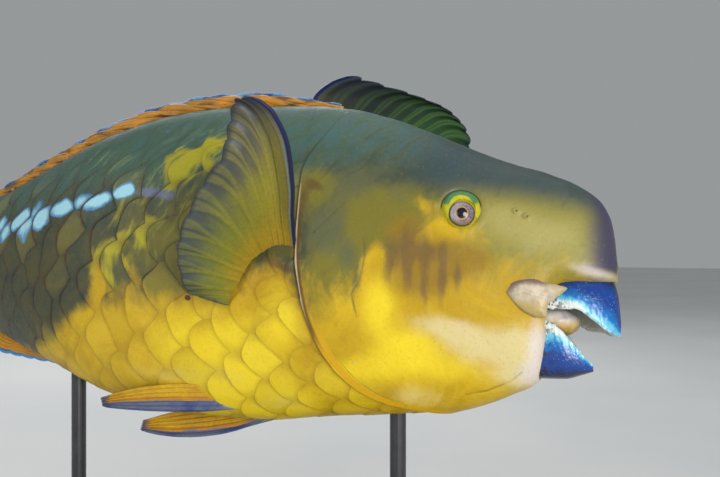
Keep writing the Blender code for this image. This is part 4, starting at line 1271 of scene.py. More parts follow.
def build_fold(side, name, look):
    """A soft lobe over the corner of the mouth, thickest along its rear and thin where it hangs free."""
    s_edge, up_edge = line_at(FOLD_OUTLINE + FOLD_OUTLINE[:1], np.arange(120) / 120)
    s_mid = s_edge.mean()
    up_mid = up_edge.mean()
    reach = np.linspace(0.0, 1.0, 29)[1:, None] ** 0.8
    s = s_mid + (s_edge - s_mid) * reach
    up = up_mid + (up_edge - up_mid) * reach
    dome = np.sqrt(np.maximum(0.0, 1.0 - reach ** 2.4))
    crease = 0.0006 * bell(up + 0.068, 0.25 * (s - 0.08), 0.0022)
    folds = 0.00022 * np.sin(s * 190.0 - up * 420.0 + 2.0 * np.sin(s * 110.0)) * dome
    base = blend(FOLD_OUT, s) * LENGTH
    outer = place(s, side * (base + FOLD_THICK * dome - crease * dome + folds), up * LENGTH)
    inner = place(s, side * (base - FOLD_BACK * dome - FOLD_RIM), up * LENGTH)
    middle_out = blend(FOLD_OUT, s_mid) * LENGTH
    poles = [place(s_mid, side * (middle_out + rise), up_mid * LENGTH)
             for rise in (FOLD_THICK, -FOLD_BACK - FOLD_RIM)]
    fold = closed_rings(name, np.concatenate([outer, inner[::-1]]), poles)
    corners = corner_vertices(fold.data)
    measures = {"station": (s, s_mid), "height": (up, up_mid), "rim": (np.broadcast_to(reach, s.shape), 0.0)}
    for key, (values, at_middle) in measures.items():
        flat = np.concatenate([values.ravel(), values[::-1].ravel(), [at_middle, at_middle]])
        add_mask(fold.data, key, flat[corners])
    use(fold, look)
    return fold


def fold_material():
    """Pale skin with a purple-brown upper rim and a yellow lower end."""
    net = Net("mouth_fold_skin", roughness=0.40, coat=0.15, coat_rough=0.25)
    height = net.mask("height")
    station = net.mask("station")
    mottle = net.noise(150.0, 5.0, 0.68)
    fine = net.noise(700.0, 3.0, 0.65)
    colour = net.mix(net.ramp(mottle, 0.35, 0.65), srgb(206, 194, 166), srgb(176, 158, 132))
    upper = net.times(net.ramp(net.add(net.mask("rim"), net.sway(mottle, 0.4)), 0.52, 0.90),
                      net.ramp(height, -0.076, -0.060), net.ramp(station, 0.055, 0.080))
    colour = net.mix(net.times(upper, 0.85), colour, srgb(96, 66, 70))
    low = net.times(net.ramp(net.add(height, net.sway(mottle, 0.02)), -0.070, -0.082),
                    net.ramp(station, 0.058, 0.074))
    colour = net.mix(net.times(low, 0.8), colour, srgb(168, 142, 58))
    front = net.ramp(net.add(station, net.sway(mottle, 0.02)), 0.064, 0.052)
    colour = net.mix(net.times(front, 0.6), colour, srgb(170, 148, 90))
    colour = net.mix(net.ramp(fine, 0.56, 0.74, 0.0, 0.35), colour, srgb(130, 100, 80))
    return net.finish(colour, fine, 0.34, 0.50, 0.0005, 0.4, net.noise(220.0, 4.0))


def lining_material():
    """The soft inside of the mouth: pale above, brown-yellow below a height in the frame."""
    net = Net("mouth_lining", roughness=0.38, coat=0.3, coat_rough=0.2)
    cloud = net.noise(120.0, 4.0, 0.6)
    fine = net.noise(600.0, 3.0, 0.6)
    pale = net.mix(net.ramp(cloud, 0.38, 0.62), srgb(206, 202, 196), srgb(160, 156, 160))
    brown = net.mix(net.ramp(cloud, 0.38, 0.62), srgb(196, 158, 70), srgb(140, 116, 62))
    height = net.split(net.where())[2]
    colour = net.mix(net.ramp(net.add(height, net.sway(cloud, 0.010)), 0.168, 0.176), brown, pale)
    colour = net.mix(net.ramp(fine, 0.5, 0.7, 0.0, 0.3), colour, srgb(178, 160, 96))
    return net.finish(colour, fine, 0.42, 0.58, 0.0005, 0.35, cloud)


# Colours of the skin
BACK = srgb(72, 96, 74)
BACK_OTHER = srgb(62, 96, 96)
FLANK = srgb(60, 68, 56)
FLANK_OTHER = srgb(78, 78, 48)
OLIVE = srgb(122, 114, 38)
LIME = srgb(176, 166, 30)
COVER_GREY = srgb(94, 98, 68)
FACE = srgb(140, 132, 58)
CROWN = srgb(52, 70, 74)
# the pale tone of the painted highlight on the sides of the snout
SNOUT_HIGHLIGHT = srgb(164, 154, 88)
STREAK_GREEN = srgb(142, 150, 58)
YELLOW = srgb(182, 146, 16)
YELLOW_OTHER = srgb(206, 170, 26)
BRIGHT = srgb(234, 206, 36)
TAN = srgb(140, 110, 26)
SMUDGE = srgb(98, 76, 54)
CREAM = srgb(212, 196, 140)
LILAC = srgb(214, 202, 196)
# the painted shadow on the front of the snout
SNOUT_FRONT_SHADOW = srgb(50, 48, 84)
RUST = srgb(94, 70, 40)
PALE = srgb(166, 218, 232)
PALE_EDGE = srgb(84, 140, 182)
GILL_ORANGE = srgb(206, 158, 16)
TURRET = srgb(206, 190, 24)
TURRET_OTHER = srgb(176, 170, 28)

# Markings of the skin, as smooth fields over station and height; the material adds their ragged edges
YELLOW_LINE = ((0.000, -0.058), (0.050, -0.044), (0.075, -0.034), (0.110, -0.028), (0.134, -0.018),
               (0.160, -0.010), (0.195, -0.016), (0.225, -0.048), (0.250, -0.056), (0.262, -0.068),
               (0.292, -0.074), (0.330, -0.048), (0.370, -0.038), (0.430, -0.056), (0.500, -0.078),
               (0.560, -0.074), (0.600, -0.086), (0.640, -0.114), (0.670, -0.130), (0.720, -0.146),
               (1.010, -0.170))
# Soft patches: station, height, half length, half height, turn in degrees, strength
PATCHES = {
    "lime": ((0.486, 0.080, 0.036, 0.019, -30, 1.1), (0.452, 0.104, 0.028, 0.013, -25, 0.8),
             (0.530, 0.000, 0.022, 0.034, -35, 0.8), (0.472, 0.036, 0.016, 0.040, -30, 0.8),
             (0.574, -0.036, 0.020, 0.036, 8, 1.2), (0.430, 0.125, 0.030, 0.010, -15, 0.4)),
    "yellow": ((0.545, -0.056, 0.022, 0.026, -10, 0.4), (0.584, -0.050, 0.013, 0.028, 8, 0.7),
               (0.241, -0.036, 0.014, 0.028, 0, 0.9), (0.335, -0.010, 0.008, 0.020, 0, 0.4),
               (0.173, -0.004, 0.020, 0.012, 0, 0.5), (0.196, 0.026, 0.018, 0.012, 20, 0.55)),
    "bright": ((0.236, -0.084, 0.020, 0.036, 8, 1.0), (0.205, -0.126, 0.040, 0.022, -25, 1.0),
               (0.070, -0.038, 0.034, 0.010, 8, 0.4), (0.270, -0.150, 0.050, 0.020, 0, 0.6),
               (0.437, -0.130, 0.090, 0.044, 0, 1.0), (0.350, -0.090, 0.030, 0.040, 0, 0.8),
               (0.160, -0.145, 0.040, 0.020, 0, 0.7), (0.400, -0.190, 0.130, 0.030, 0, 1.2)),
    "cream": ((0.092, -0.126, 0.022, 0.030, 0, 1.0), (0.132, -0.121, 0.042, 0.022, 8, 1.0),
              (0.172, -0.103, 0.036, 0.012, 10, 0.8), (0.090, -0.153, 0.026, 0.012, 0, 0.8),
              (0.350, -0.190, 0.060, 0.014, 0, 0.35), (0.500, -0.165, 0.080, 0.016, 0, 0.35),
              (0.200, -0.174, 0.050, 0.012, 5, 0.5)),
    "lilac": ((0.075, -0.122, 0.012, 0.030, 0, 1.2), (0.084, -0.148, 0.018, 0.012, 0, 0.8),
              (0.022, -0.0410, 0.024, 0.0070, 8, 1.0), (0.150, -0.100, 0.014, 0.006, 10, 0.4)),
    # the snout patches are a painted highlight on the sides of the snout
    "snout": ((0.066, -0.008, 0.050, 0.026, 0, 0.9), (0.112, 0.014, 0.030, 0.020, 10, 0.7)),
    "tan": ((0.188, -0.036, 0.040, 0.026, 0, 1.0), (0.145, -0.034, 0.036, 0.018, 8, 0.9),
            (0.190, -0.064, 0.034, 0.018, 0, 0.6), (0.215, 0.000, 0.024, 0.020, 0, 0.8)),
    "smudge": ((0.226, -0.046, 0.007, 0.026, 0, 1.0), (0.207, -0.048, 0.007, 0.030, 0, 1.0),
               (0.189, -0.054, 0.006, 0.030, 0, 1.1), (0.171, -0.054, 0.006, 0.028, 0, 1.1),
               (0.154, -0.052, 0.006, 0.018, 0, 1.0), (0.190, -0.026, 0.034, 0.012, 0, 0.8),
               (0.134, -0.054, 0.008, 0.006, 0, 0.5), (0.208, -0.004, 0.012, 0.014, 0, 0.5)),
    "speck": ((0.470, -0.076, 0.0038, 0.0030, 0, 1.6),),
    "grey": ((0.300, 0.000, 0.026, 0.034, 20, 1.0), (0.276, 0.050, 0.030, 0.026, 20, 0.7),
             (0.270, -0.030, 0.014, 0.020, 0, 0.7), (0.235, 0.060, 0.030, 0.030, 0, 0.5),
             (0.220, 0.030, 0.020, 0.016, 0, 0.4)),
    "rust": ((0.332, 0.030, 0.010, 0.020, 15, 1.0), (0.316, 0.046, 0.014, 0.006, 30, 0.8),
             (0.340, -0.046, 0.010, 0.006, 0, 0.6), (0.358, -0.038, 0.016, 0.006, 20, 1.0),
             (0.402, -0.062, 0.010, 0.020, -20, 0.7)),
    "olive": ((0.285, -0.090, 0.030, 0.040, -20, 1.3), (0.315, 0.045, 0.030, 0.024, 0, 0.8),
              (0.490, -0.020, 0.070, 0.040, 0, 0.7), (0.440, 0.020, 0.060, 0.060, 0, 0.8),
              (0.660, -0.130, 0.070, 0.024, 0, 0.8), (0.205, 0.020, 0.050, 0.034, 0, 0.9),
              (0.250, -0.010, 0.024, 0.040, 0, 0.9), (0.250, 0.030, 0.030, 0.016, 0, 0.5),
              (0.302, -0.050, 0.030, 0.030, 0, 0.8), (0.290, 0.010, 0.040, 0.045, 0, 0.55),
              (0.505, -0.066, 0.050, 0.018, 0, 0.7)),
    "lavender": ((0.527, 0.047, 0.024, 0.008, 5, 1.0), (0.500, 0.042, 0.010, 0.008, 0, 0.6)),
    "streaked": ((0.470, 0.075, 0.060, 0.060, 0, 1.0), (0.540, 0.020, 0.050, 0.050, 0, 0.9),
                 (0.620, 0.090, 0.070, 0.030, 0, 0.6), (0.420, 0.010, 0.040, 0.060, 0, 0.7)),
}
WHITE_STRIPE = ((0.830, 0.002), (0.760, 0.014), (0.700, 0.024), (0.640, 0.034), (0.590, 0.043),
                (0.555, 0.050))


def patch_sum(patches, s, height):
    """Soft oval patches added together, each 1 times its strength in its middle."""
    total = np.zeros_like(s)
    for station, up, half_long, half_high, turn, strength in patches:
        turned = math.radians(turn)
        ds = s - station
        dh = height - up
        a = (ds * math.cos(turned) + dh * math.sin(turned)) / half_long
        b = (dh * math.cos(turned) - ds * math.sin(turned)) / half_high
        total += strength * np.exp(-(a * a + b * b))
    return total


def skin_fields(s, angle, points):
    """The markings as numbers from 0 to about 1, for each spot of the skin."""
    height = body_height(s, angle)
    spots = np.stack([s, height], axis=-1)
    edge = gill_edge(angle)
    down = down_angle(angle)

    def line_mark(line, wide):
        away = near_line(spots * LENGTH * 1000.0, np.array(line) * LENGTH * 1000.0)[0]
        return bell(away, 0.0, wide)

    fields = {name: patch_sum(patches, s, height) for name, patches in PATCHES.items()}
    soft = 0.026 + 0.044 * ease(0.24, 0.15, s) + 0.030 * ease(0.245, 0.27, s) * ease(0.345, 0.32, s)
    fields["yellow"] += np.clip(0.5 + 0.5 * (blend(YELLOW_LINE, s) - height) / soft, 0.0, 1.0)
    up_share = np.clip((height + 0.02) / (blend(TOP, s) + 0.02), -1.0, 1.0)
    fields["back"] = up_share - 0.20 * ease(edge + 0.01, edge - 0.08, s)
    fields["face"] = ease(0.215, 0.150, s + 0.5 * np.maximum(height - 0.02, 0.0))
    fields["crown"] = ease(0.010, 0.068, height + 0.16 * np.maximum(0.0, 0.10 - s)) * ease(0.27, 0.14, s)
    # painted shadow: a dark violet tint on the front of the snout above the lip
    fields["rim"] = ease(0.048, 0.004, s) * ease(-0.046, -0.034, height)
    fields["lip_margin"] = line_mark(LIP_MARGIN, 1.3) * ease(0.066, 0.058, s)
    # dark colour along the folds and grooves of the head: painted shade in the creases
    fields["crease"] = 0.80 * line_mark(COVER_FOLD, 1.0) + 0.65 * line_mark(COVER_LINE, 0.8)
    fields["crease"] += 0.80 * line_mark(UPPER_LINE, 1.0) + 0.80 * line_mark(JAW_LINE, 0.8)
    # bands along the edge of the gill cover, in millimetres behind it
    behind = (s - edge) * LENGTH * 1000.0
    fields["gill_band"] = ease(-6.4, -5.0, behind) * ease(0.6, 0.0, behind) * ease(1.90, 2.10, down)
    # a dark crease line along the front of the gill band, also painted shade
    fields["crease"] += 0.9 * bell(behind, -6.6, 0.6) * ease(1.95, 2.15, down) * ease(2.9, 2.6, down)
    maroon = ease(-2.4, -1.4, behind) * ease(0.4, 0.0, behind)
    fields["gill_maroon"] = maroon * ease(1.2, 1.4, down) * ease(2.20, 1.95, down)
    fields["gill_white"] = bell(behind, -0.1, 0.35) * ease(1.05, 1.2, down) * ease(2.0, 1.75, down)
    fields["gill_shade"] = ease(2.4, 0.4, behind) * ease(0.2, 0.4, behind) * ease(0.75, 1.1, down)
    fields["pale"] = bell(near_line(spots, WHITE_STRIPE)[0], 0.0, 0.010 + 0.012 * ease(0.56, 0.76, s))
    fields["rear"] = ease(0.50, 0.64, s)
    # the eye's turret, the green crescent over it and the dark line round its upper half
    for side in (1, -1):
        offset = points - surface_spot(EYE_STATION, EYE_UP, side)[0]
        reach = np.linalg.norm(offset, axis=-1) * 1000.0
        rise = offset[..., 2] * 1000.0 / np.maximum(reach, 0.5)
        crescent = ease(-0.10, 0.55, rise) * ease(5.4, 7.0, reach) * ease(9.6, 8.4, reach)
        marks = {"turret": ease(10.3, 8.8, reach), "teal": crescent,
                 "eye_line": bell(reach, TURRET_FOOT, 0.60) * ease(-0.45, 0.25, rise)}
        for name, values in marks.items():
            fields[name] = np.maximum(fields.get(name, 0.0), values)
    fields["scaled"] = scale_weight(s, angle)
    return fields


def scale_nodes(net, u, v):
    """The same measures of a scale as scale_measure gives, for the material."""
    n = net.math("FLOOR", u)
    f = net.less(u, n)
    own = net.add(v, net.times(n, 0.5))
    reach = net.less(SCALE_REACH, net.times(u, SCALE_REACH_DROP))

    def edge(at):
        x = net.times(net.math("ABSOLUTE", net.less(net.math("FRACT", at), 0.5)), 2.0)
        return net.times(net.less(1.0, net.math("POWER", x, SCALE_POINT)), reach)

    own_edge = edge(own)
    next_edge = edge(net.add(own, 0.5))
    inside = net.math("LESS_THAN", f, own_edge)
    outside = net.less(1.0, inside)
    ahead = net.add(net.less(own_edge, f), net.times(outside, net.less(net.add(next_edge, 1.0), own_edge)))
    behind = net.add(net.less(f, own_edge), net.times(inside, net.less(net.add(own_edge, 1.0), next_edge)))
    column = net.add(n, outside)
    row_at = net.add(v, net.times(column, 0.5))
    row = net.math("FLOOR", row_at)
    across = net.less(net.less(row_at, row), 0.5)
    return ahead, behind, column, row, across


# Coats of colour, each over those before it: its field, where it begins and where it is full, colour and
# share, and how much clouds, mottling, single scales and streaks move its edge
GROUND_COATS = (("olive", 0.20, 0.90, OLIVE, 0.90, 0.60, 0.50, 0.2, 0.5),
                ("grey", 0.25, 0.90, COVER_GREY, 0.85, 0.70, 0.50),
                ("face", 0.10, 0.95, FACE, 0.95, 0.30, 0.25),
                # the snout coat is a painted highlight
                ("snout", 0.10, 1.00, SNOUT_HIGHLIGHT, 0.95, 0.30, 0.25),
                ("crown", 0.05, 0.95, CROWN, 0.95, 0.25, 0.15))
YELLOW_COATS = (("bright", 0.25, 1.00, BRIGHT, 0.90, 0.50, 0.30, 0.4),
                ("tan", 0.15, 0.95, TAN, 0.88, 0.60, 0.60))
PALE_COATS = (("cream", 0.12, 1.10, CREAM, 0.88, 0.90, 0.60),
              ("lilac", 0.10, 1.10, LILAC, 0.85, 0.30, 0.50),
              # the rim coat is the painted shadow on the front of the snout
              ("rim", 0.05, 1.00, SNOUT_FRONT_SHADOW, 0.90, 0.10, 0.10),
              ("rust", 0.30, 0.90, RUST, 0.70, 0.30, 0.90),
              ("lip_margin", 0.35, 0.80, srgb(196, 132, 50), 0.80, 0.20, 0.40))
EYE_COATS = (("teal", 0.25, 0.80, srgb(34, 118, 84), 0.90, 0.20, 0.40),
             ("eye_line", 0.35, 0.85, srgb(20, 46, 44), 0.90, 0.10, 0.20))
# Thin marks with no ragged edge: field, colour and share
GILL_COATS = (("gill_shade", srgb(70, 52, 28), 0.80), ("gill_band", GILL_ORANGE, 0.85),
              ("gill_maroon", srgb(84, 46, 30), 0.85), ("gill_white", srgb(214, 200, 150), 0.75))


class SkinNet(Net):
    """The nodes of the skin, with its textures and the measures of its scales."""

    def __init__(self):
        super().__init__("fish_skin", roughness=0.46, coat=0.05, coat_rough=0.25, specular=0.28)
        u, v = self.split(self.uv("Scales"))[:2]
        self.ahead, self.behind, column, row, self.across = scale_nodes(self, u, v)
        self.aside = self.math("ABSOLUTE", self.across)
        self.draw = self.chance(self.join(column, row, 3.0))
        self.tone_draw = self.chance(self.join(column, row, 11.0))
        self.scaled = self.mask("scaled")
        self.by_scale = self.times(self.less(self.draw, 0.5), self.scaled)
        self.cloud = self.noise(24.0, 5.0, 0.62, twist=0.6)
        self.mottle = self.noise(80.0, 5.0, 0.68, twist=0.4)
        self.fine = self.noise(640.0, 3.0, 0.7)
        self.streak = self.noise(1.0, 5.0, 0.65, self.join(self.times(u, 2.6), self.times(v, 1.1)), 0.5)
        station, round_share = self.split(self.uv("Place"))[:2]
        tall = self.join(self.times(station, 110.0), self.times(round_share, 16.0))
        self.upright = self.noise(1.0, 4.0, 0.6, tall, 0.3)

    def shifted(self, name, cloudy, mottled, per_scale=0.0, streaky=0.0):
        """A field whose level lines are made ragged."""
        at = self.add(self.mask(name), self.sway(self.cloud, cloudy))
        at = self.add(at, self.sway(self.mottle, mottled))
        if per_scale:
            at = self.add(at, self.times(self.by_scale, per_scale))
        if streaky:
            at = self.add(at, self.sway(self.streak, streaky))
        return at

    def over(self, colour, name, low, high, new, share, *ragged):
        return self.mix(self.ramp(self.shifted(name, *ragged), low, high, 0.0, share), colour, new)


def ground_colour(net):
    """Grey-brown flank, blue-green back, olive middle, face, a painted highlight on the sides of the snout
    and dark crown, with green streaks.
    """
    flank = net.mix(net.ramp(net.mottle, 0.35, 0.65), FLANK, FLANK_OTHER)
    back = net.mix(net.ramp(net.streak, 0.35, 0.65), BACK, BACK_OTHER)
    colour = net.mix(net.ramp(net.shifted("back", 0.5, 0.3, 0.1, 0.3), 0.15, 0.80), flank, back)
    for coat in GROUND_COATS:
        colour = net.over(colour, *coat)
    streaks = net.times(net.ramp(net.mask("streaked"), 0.1, 0.8), net.ramp(net.streak, 0.50, 0.66))
    colour = net.mix(net.times(streaks, 0.55), colour, STREAK_GREEN)
    dark_streaks = net.times(net.ramp(net.mask("back"), 0.0, 0.5), net.ramp(net.streak, 0.46, 0.34))
    colour = net.mix(net.times(dark_streaks, 0.35), colour, srgb(52, 70, 60))
    lime_at = net.add(net.shifted("lime", 0.4, 0.6, 0.3, 1.2), net.ramp(net.aside, 0.10, 0.42, -0.25, 0.30))
    lime_share = net.times(net.ramp(lime_at, 0.30, 0.90, 0.0, 0.9), net.ramp(net.mask("lime"), 0.04, 0.25))
    return net.mix(lime_share, colour, LIME)


def yellow_parts(net, colour, is_yellow):
    """Yellow belly and cheek, with their bright, tan, smudged, pale and rusty places, and the painted shadow
    on the front of the snout.
    """
    yellow = net.mix(net.ramp(net.cloud, 0.35, 0.65), YELLOW, YELLOW_OTHER)
    colour = net.mix(is_yellow, colour, yellow)
    for coat in YELLOW_COATS:
        colour = net.over(colour, *coat)
    smudge = net.add(net.shifted("smudge", 0.4, 0.7), net.sway(net.upright, 1.1))
    colour = net.mix(net.ramp(smudge, 0.25, 1.00, 0.0, 0.60), colour, SMUDGE)
    for coat in PALE_COATS:
        colour = net.over(colour, *coat)
    return colour


def scale_tones(net, colour, is_yellow):
    """Each scale a little different, and darker toward its sides."""
    tone = net.times(net.less(net.tone_draw, 0.5), net.scaled)
    colour = net.mix(net.ramp(tone, 0.05, 0.5, 0.0, 0.12), colour, srgb(214, 192, 70))
    colour = net.mix(net.ramp(tone, -0.05, -0.5, 0.0, 0.18), colour, srgb(96, 78, 34))
    side_shade = net.times(net.ramp(net.aside, 0.22, 0.50, 0.0, 0.35), net.scaled)
    return net.mix(side_shade, colour, net.mix(is_yellow, srgb(56, 56, 42), srgb(150, 118, 24)))


def pale_blocks(net, colour):
    """The pale stripe, broken into one block to a scale."""
    ahead = net.math("DIVIDE", net.less(net.behind, net.ahead), net.add(net.ahead, net.behind))
    far_out = net.math("SQRT", net.add(net.times(ahead, ahead), net.times(net.across, net.across, 5.0)))
    block = net.add(net.times(net.mask("pale"), 1.60), net.times(far_out, -0.95))
    block = net.add(net.add(block, net.sway(net.mottle, 1.2)), net.sway(net.draw, 0.5))
    pale = net.mix(net.ramp(block, 0.45, 0.95), PALE_EDGE, PALE)
    colour = net.mix(net.ramp(block, 0.22, 0.48, 0.0, 0.95), colour, pale)
    return net.over(colour, "lavender", 0.35, 0.90, srgb(118, 124, 160), 0.6, 0.3, 0.7)


def scale_lines(net, is_yellow):
    """The share of the dark lines along the free edges of the scales, wider on the rear."""
    rear = net.times(net.mask("rear"), net.less(1.0, is_yellow))
    reach = net.math("MINIMUM", net.ahead, net.times(net.behind, 1.4))
    reach = net.add(reach, net.sway(net.mottle, 0.05))
    wide = net.ramp(rear, 0.0, 0.8, 0.055, 0.120)
    thin = net.ramp(net.math("DIVIDE", reach, wide), 1.0, 0.25)
    strength = net.mix(is_yellow, (0.95, 0.95, 0.95, 1.0), (0.34, 0.34, 0.34, 1.0))
    uneven = net.ramp(net.add(net.draw, net.sway(net.mottle, 1.5)), 0.1, 0.8, 0.40, 1.0)
    return net.times(thin, strength, net.scaled, uneven)


def scale_edges(net, colour, is_yellow, lines):
    """Dark lines on the free edges of the scales, redder in places, and the shade behind them."""
    red = net.mix(net.ramp(net.mottle, 0.46, 0.58), srgb(44, 42, 32), srgb(94, 44, 26))
    colour = net.mix(lines, colour, net.mix(is_yellow, red, srgb(120, 82, 18)))
    shade = net.times(net.ramp(net.behind, 0.30, 0.0), net.ramp(is_yellow, 0.0, 1.0, 0.40, 0.22), net.scaled)
    colour = net.mix(shade, colour, net.mix(is_yellow, srgb(50, 54, 42), srgb(150, 112, 18)))
    return net.over(colour, "speck", 0.40, 0.80, srgb(70, 20, 26), 0.9, 0.0, 0.6)


def head_marks(net, colour):
    """Painted shade in the creases, the bands of the gill cover and the turret of the eye."""
    colour = net.over(colour, "crease", 0.45, 1.00, srgb(58, 52, 40), 0.62, 0.5, 0.9)
    for name, new, share in GILL_COATS:
        colour = net.mix(net.times(net.mask(name), share), colour, new)
    turret = net.mix(net.ramp(net.mottle, 0.35, 0.65), TURRET, TURRET_OTHER)
    colour = net.over(colour, "turret", 0.35, 0.75, turret, 1.0, 0.1, 0.3)
    for coat in EYE_COATS:
        colour = net.over(colour, *coat)
    return colour


def skin_material():
    """Yellow, olive and grey skin with dark-edged scales, pale patches and the marks of the head."""
    net = SkinNet()
    is_yellow = net.ramp(net.shifted("yellow", 0.7, 0.4, 0.38, 0.5), 0.28, 0.80)
    lines = scale_lines(net, is_yellow)
    colour = yellow_parts(net, ground_colour(net), is_yellow)
    colour = scale_tones(net, colour, is_yellow)
    colour = pale_blocks(net, colour)
    colour = scale_edges(net, colour, is_yellow, lines)
    colour = head_marks(net, colour)
    # fine grain all over
    colour = net.mix(net.ramp(net.fine, 0.52, 0.76, 0.0, 0.18), colour, srgb(70, 62, 36))
    colour = net.mix(net.ramp(net.fine, 0.42, 0.22, 0.0, 0.10), colour, srgb(226, 200, 90))
    rings = net.times(net.math("SINE", net.times(net.ahead, 62.0)), net.scaled, 0.04)
    height = net.add(net.times(net.fine, 0.55), net.times(net.mottle, 0.8))
    height = net.add(height, net.add(net.times(net.noise(1500.0, 2.0, 0.6), 0.20), rings))
    rough = net.add(net.ramp(net.fine, 0.2, 0.8, 0.38, 0.56), net.times(lines, 0.12))
    return net.done(colour, rough, net.bump(height, 0.0006, 0.40))


def finish_skin(skin):
    """Cuts the mouth from the skin, then gives every face corner its markings and its UV maps."""
    lining = lining_material()
    use(skin, skin_material())
    cut(skin, beak_hull("upper_hull", UPPER, UPPER_BACK, 0.104, -0.020, lining))
    cut(skin, beak_hull("lower_hull", LOWER, LOWER_BACK, 0.100, 0.012, lining))
    mesh = skin.data
    corners = corner_vertices(mesh)
    spots = np.zeros(len(mesh.vertices) * 3, np.float32)
    mesh.vertices.foreach_get("co", spots)
    spots = spots.reshape(-1, 3)[corners].astype(float)
    at = get_uv(mesh, "Place").astype(float)
    columns, shares = lead_columns()
    angle = np.interp(at[:, 1] % 1.0, np.append(shares, 1.0), np.append(columns, 2.0 * math.pi))
    s = np.clip(at[:, 0], 0.001, 1.05)
    for key, values in skin_fields(s, angle, spots).items():
        add_mask(mesh, key, values)
    u, v = scale_place(s, angle, at[:, 1])
    add_uv(mesh, "Scales", np.stack([u, v], axis=-1))
    counts = np.zeros(len(mesh.polygons), np.int32)
    mesh.polygons.foreach_get("loop_total", counts)
    kinds = np.zeros(len(mesh.polygons), np.int32)
    mesh.polygons.foreach_get("material_index", kinds)
    inner = np.repeat(kinds, counts) > 0
    # the skin fills the map up to 0.82 of its height, and the lining of the mouth has a corner above
    flat = np.stack([at[:, 0] / 1.06, at[:, 1] * 0.82], axis=-1)
    across_up = (spots[:, 1:] - spots[inner, 1:].min(axis=0)) / np.ptp(spots[inner, 1:], axis=0)
    mouth = np.array([0.02, 0.85]) + np.array([0.14, 0.13]) * across_up
    add_uv(mesh, "OFBake", np.where(inner[:, None], mouth, flat))
    mesh.uv_layers.active = mesh.uv_layers["OFBake"]


# The stand
def wood_material():
    """Dark brown wood with its grain along the base."""
    net = Net("stand_wood", roughness=0.42, coat=0.3, coat_rough=0.15)
    grain = net.stretch(6.0, 60.0, 60.0)
    bands = net.noise(2.2, 6.0, 0.6, grain, 1.4)
    pores = net.noise(9.0, 3.0, 0.7, net.stretch(20.0, 260.0, 260.0))
    colour = net.mix(net.ramp(bands, 0.35, 0.65), srgb(58, 36, 24), srgb(92, 60, 38))
    colour = net.mix(net.ramp(pores, 0.55, 0.68, 0.0, 0.55), colour, srgb(30, 18, 12))
    return net.done(colour, net.ramp(bands, 0.3, 0.7, 0.34, 0.48), net.bump(pores, 0.0003, 0.3))


def rod_material():
    """Black satin paint."""
    net = Net("rod_paint", roughness=0.38, coat=0.3)
    colour = net.mix(net.ramp(net.noise(80.0, 3.0, 0.6), 0.3, 0.7), srgb(30, 30, 33), srgb(44, 44, 48))
    return net.finish(colour, net.noise(900.0, 3.0, 0.6), 0.30, 0.46, 0.0002)


# Floor, light and camera
def build_floor():
    """A plain pale floor just under the stand."""
    corners = [(-6, -6, -GAP), (6, -6, -GAP), (6, 6, -GAP), (-6, 6, -GAP)]
    floor = quad_mesh("studio_floor", corners, [(0, 1, 2, 3)])
    net = Net("studio_floor_paint", roughness=0.7, specular=0.2)
    colour = net.mix(net.ramp(net.noise(3.0, 3.0, 0.5), 0.3, 0.7), srgb(212, 214, 214), srgb(220, 221, 220))
    use(floor, net.done(colour))


def area_light(name, spot, target, size, power):
    data = bpy.data.lights.new(name, "AREA")
    data.shape = "DISK"
    data.size = size
    data.energy = power
    lamp = bpy.data.objects.new(name, data)
    lamp.location = spot
    lamp.rotation_euler = (Vector(target) - Vector(spot)).to_track_quat("-Z", "Y").to_euler()
    bpy.context.scene.collection.objects.link(lamp)


# The camera stands level and looks this much to the left of +Y; the focal length is in the photo's pixels
CAMERA_TURN = math.radians(22.0)
RIGHT = Vector((math.cos(CAMERA_TURN), math.sin(CAMERA_TURN), 0.0))
VIEW = Vector((-math.sin(CAMERA_TURN), math.cos(CAMERA_TURN), 0.0))
FOCAL_PIXELS = 834.0
PICTURE_WIDE = 720.0
AIM_STATION = 0.38
# The lights: metres from the aim point to the camera's right, away from it and up, then size and power
LIGHTS = {"key_light": ((0.55, -1.25, 0.18), 0.8, 15.0), "fill_light": ((-1.3, -0.9, 0.35), 1.2, 5.0),
          "top_light": ((0.0, 0.2, 1.5), 1.4, 5.0), "back_light": ((-0.4, 1.3, 0.8), 1.0, 9.0)}


def aim_point():
    """The place on the body line that the camera and the lights look at."""
    stations, xs, ys = SPINE[:3]
    return Vector((np.interp(AIM_STATION, stations, xs), np.interp(AIM_STATION, stations, ys), AXIS_HEIGHT))


def build_lights():
    aim = aim_point()
    for name, ((right, away, up), size, power) in LIGHTS.items():
        area_light(name, aim + RIGHT * right + VIEW * away + Vector((0, 0, up)), aim, size, power)
    world = bpy.data.worlds.new("studio_air")
    world.use_nodes = True
    air = world.node_tree.nodes["Background"].inputs
    air["Color"].default_value = srgb(222, 226, 228)
    air["Strength"].default_value = 0.42
    bpy.context.scene.world = world


def build_camera():
    """The camera of the photograph, LENGTH away from the fish's body line."""
    data = bpy.data.cameras.new("photo_camera")
    data.sensor_width = 36.0
    data.lens = 36.0 * FOCAL_PIXELS / PICTURE_WIDE
    data.clip_start = 0.02
    camera = bpy.data.objects.new("photo_camera", data)
    spot = aim_point() + RIGHT * 0.0875 * LENGTH - VIEW * LENGTH
    up = Vector((0.0, 0.0, 1.0))
    camera.matrix_world = Matrix((
        (RIGHT.x, up.x, -VIEW.x, spot.x), (RIGHT.y, up.y, -VIEW.y, spot.y),
        (RIGHT.z, up.z, -VIEW.z, spot.z), (0.0, 0.0, 0.0, 1.0)))
    bpy.context.scene.collection.objects.link(camera)
    bpy.context.scene.camera = camera


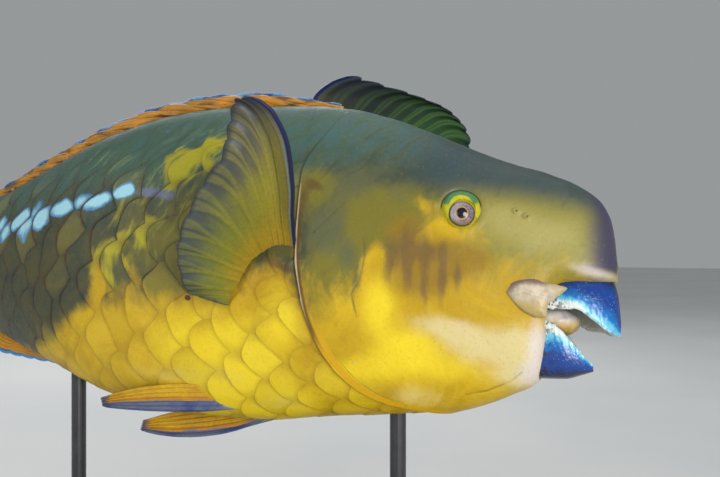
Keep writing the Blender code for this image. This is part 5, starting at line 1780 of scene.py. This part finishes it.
def settle(piece, slot, *nodes):
    """Each piece rides on the one body and hides the solids that it stands for; the slot is not used."""
    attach(piece, "root")
    if nodes:
        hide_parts(*nodes)


def dress_head():
    """The pieces of the beak, the mouth and the eyes."""
    beak_look = beak_material()
    settle(build_beak("beak_upper_scoop", UPPER, 0.008, UPPER_BACK, beak_look, 5), "beak", "beak_upper")
    settle(build_beak("beak_lower_scoop", LOWER, 0.034, LOWER_BACK, beak_look, 8), "beak", "beak_lower")
    settle(build_tissue(lining_material()), "skin")
    eye_look = eye_material()
    for side, word in ((-1, "right"), (1, "left")):
        settle(build_eyeball(side, "eyeball_" + word, eye_look), "eye", "eye_" + word)
    fold_look = fold_material()
    for side, word in ((1, "left"), (-1, "right")):
        settle(build_fold(side, "mouth_fold_" + word, fold_look), "skin")


def dress_fins():
    """The two fans, the two folded fins of the belly, and the three single fins."""
    for word, margin, shape, tones, reach, dark_share in FANS:
        look = fan_material("pectoral_skin_" + word, tones, reach, dark_share)
        settle(build_pectoral("pectoral_fan_" + word, margin, shape, look), "fin", "pectoral_fin_" + word)
    for word, side, shape, blue_from in PELVICS:
        look = pelvic_material("pelvic_skin_" + word, blue_from)
        settle(build_pelvic("pelvic_web_" + word, shape, side, look), "fin", "pelvic_fin_" + word)
    settle(build_anal(anal_material()), "fin", "anal_fin")
    settle(build_tail_fin(tail_material()), "fin", "tail_fin")
    for piece in build_dorsal(rope_material(), margin_material()):
        settle(piece, "fin", "dorsal_fin")


def dress_stand(nodes):
    """The stand keeps its solids, with wood and paint on them."""
    use(bpy.data.objects[nodes["stand_base"].name], wood_material())
    rod_look = rod_material()
    for name in ("stand_rod_front", "stand_rod_rear"):
        use(bpy.data.objects[nodes[name].name], rod_look)


def main():
    bpy.context.scene.view_settings.view_transform = "Standard"
    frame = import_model()
    skin = build_skin()
    finish_skin(skin)
    settle(skin, "skin", "head", "trunk_front", "trunk_rear", "tail_stem")
    dress_head()
    dress_fins()
    dress_stand(frame["nodes"])
    build_floor()
    build_lights()
    build_camera()


main()
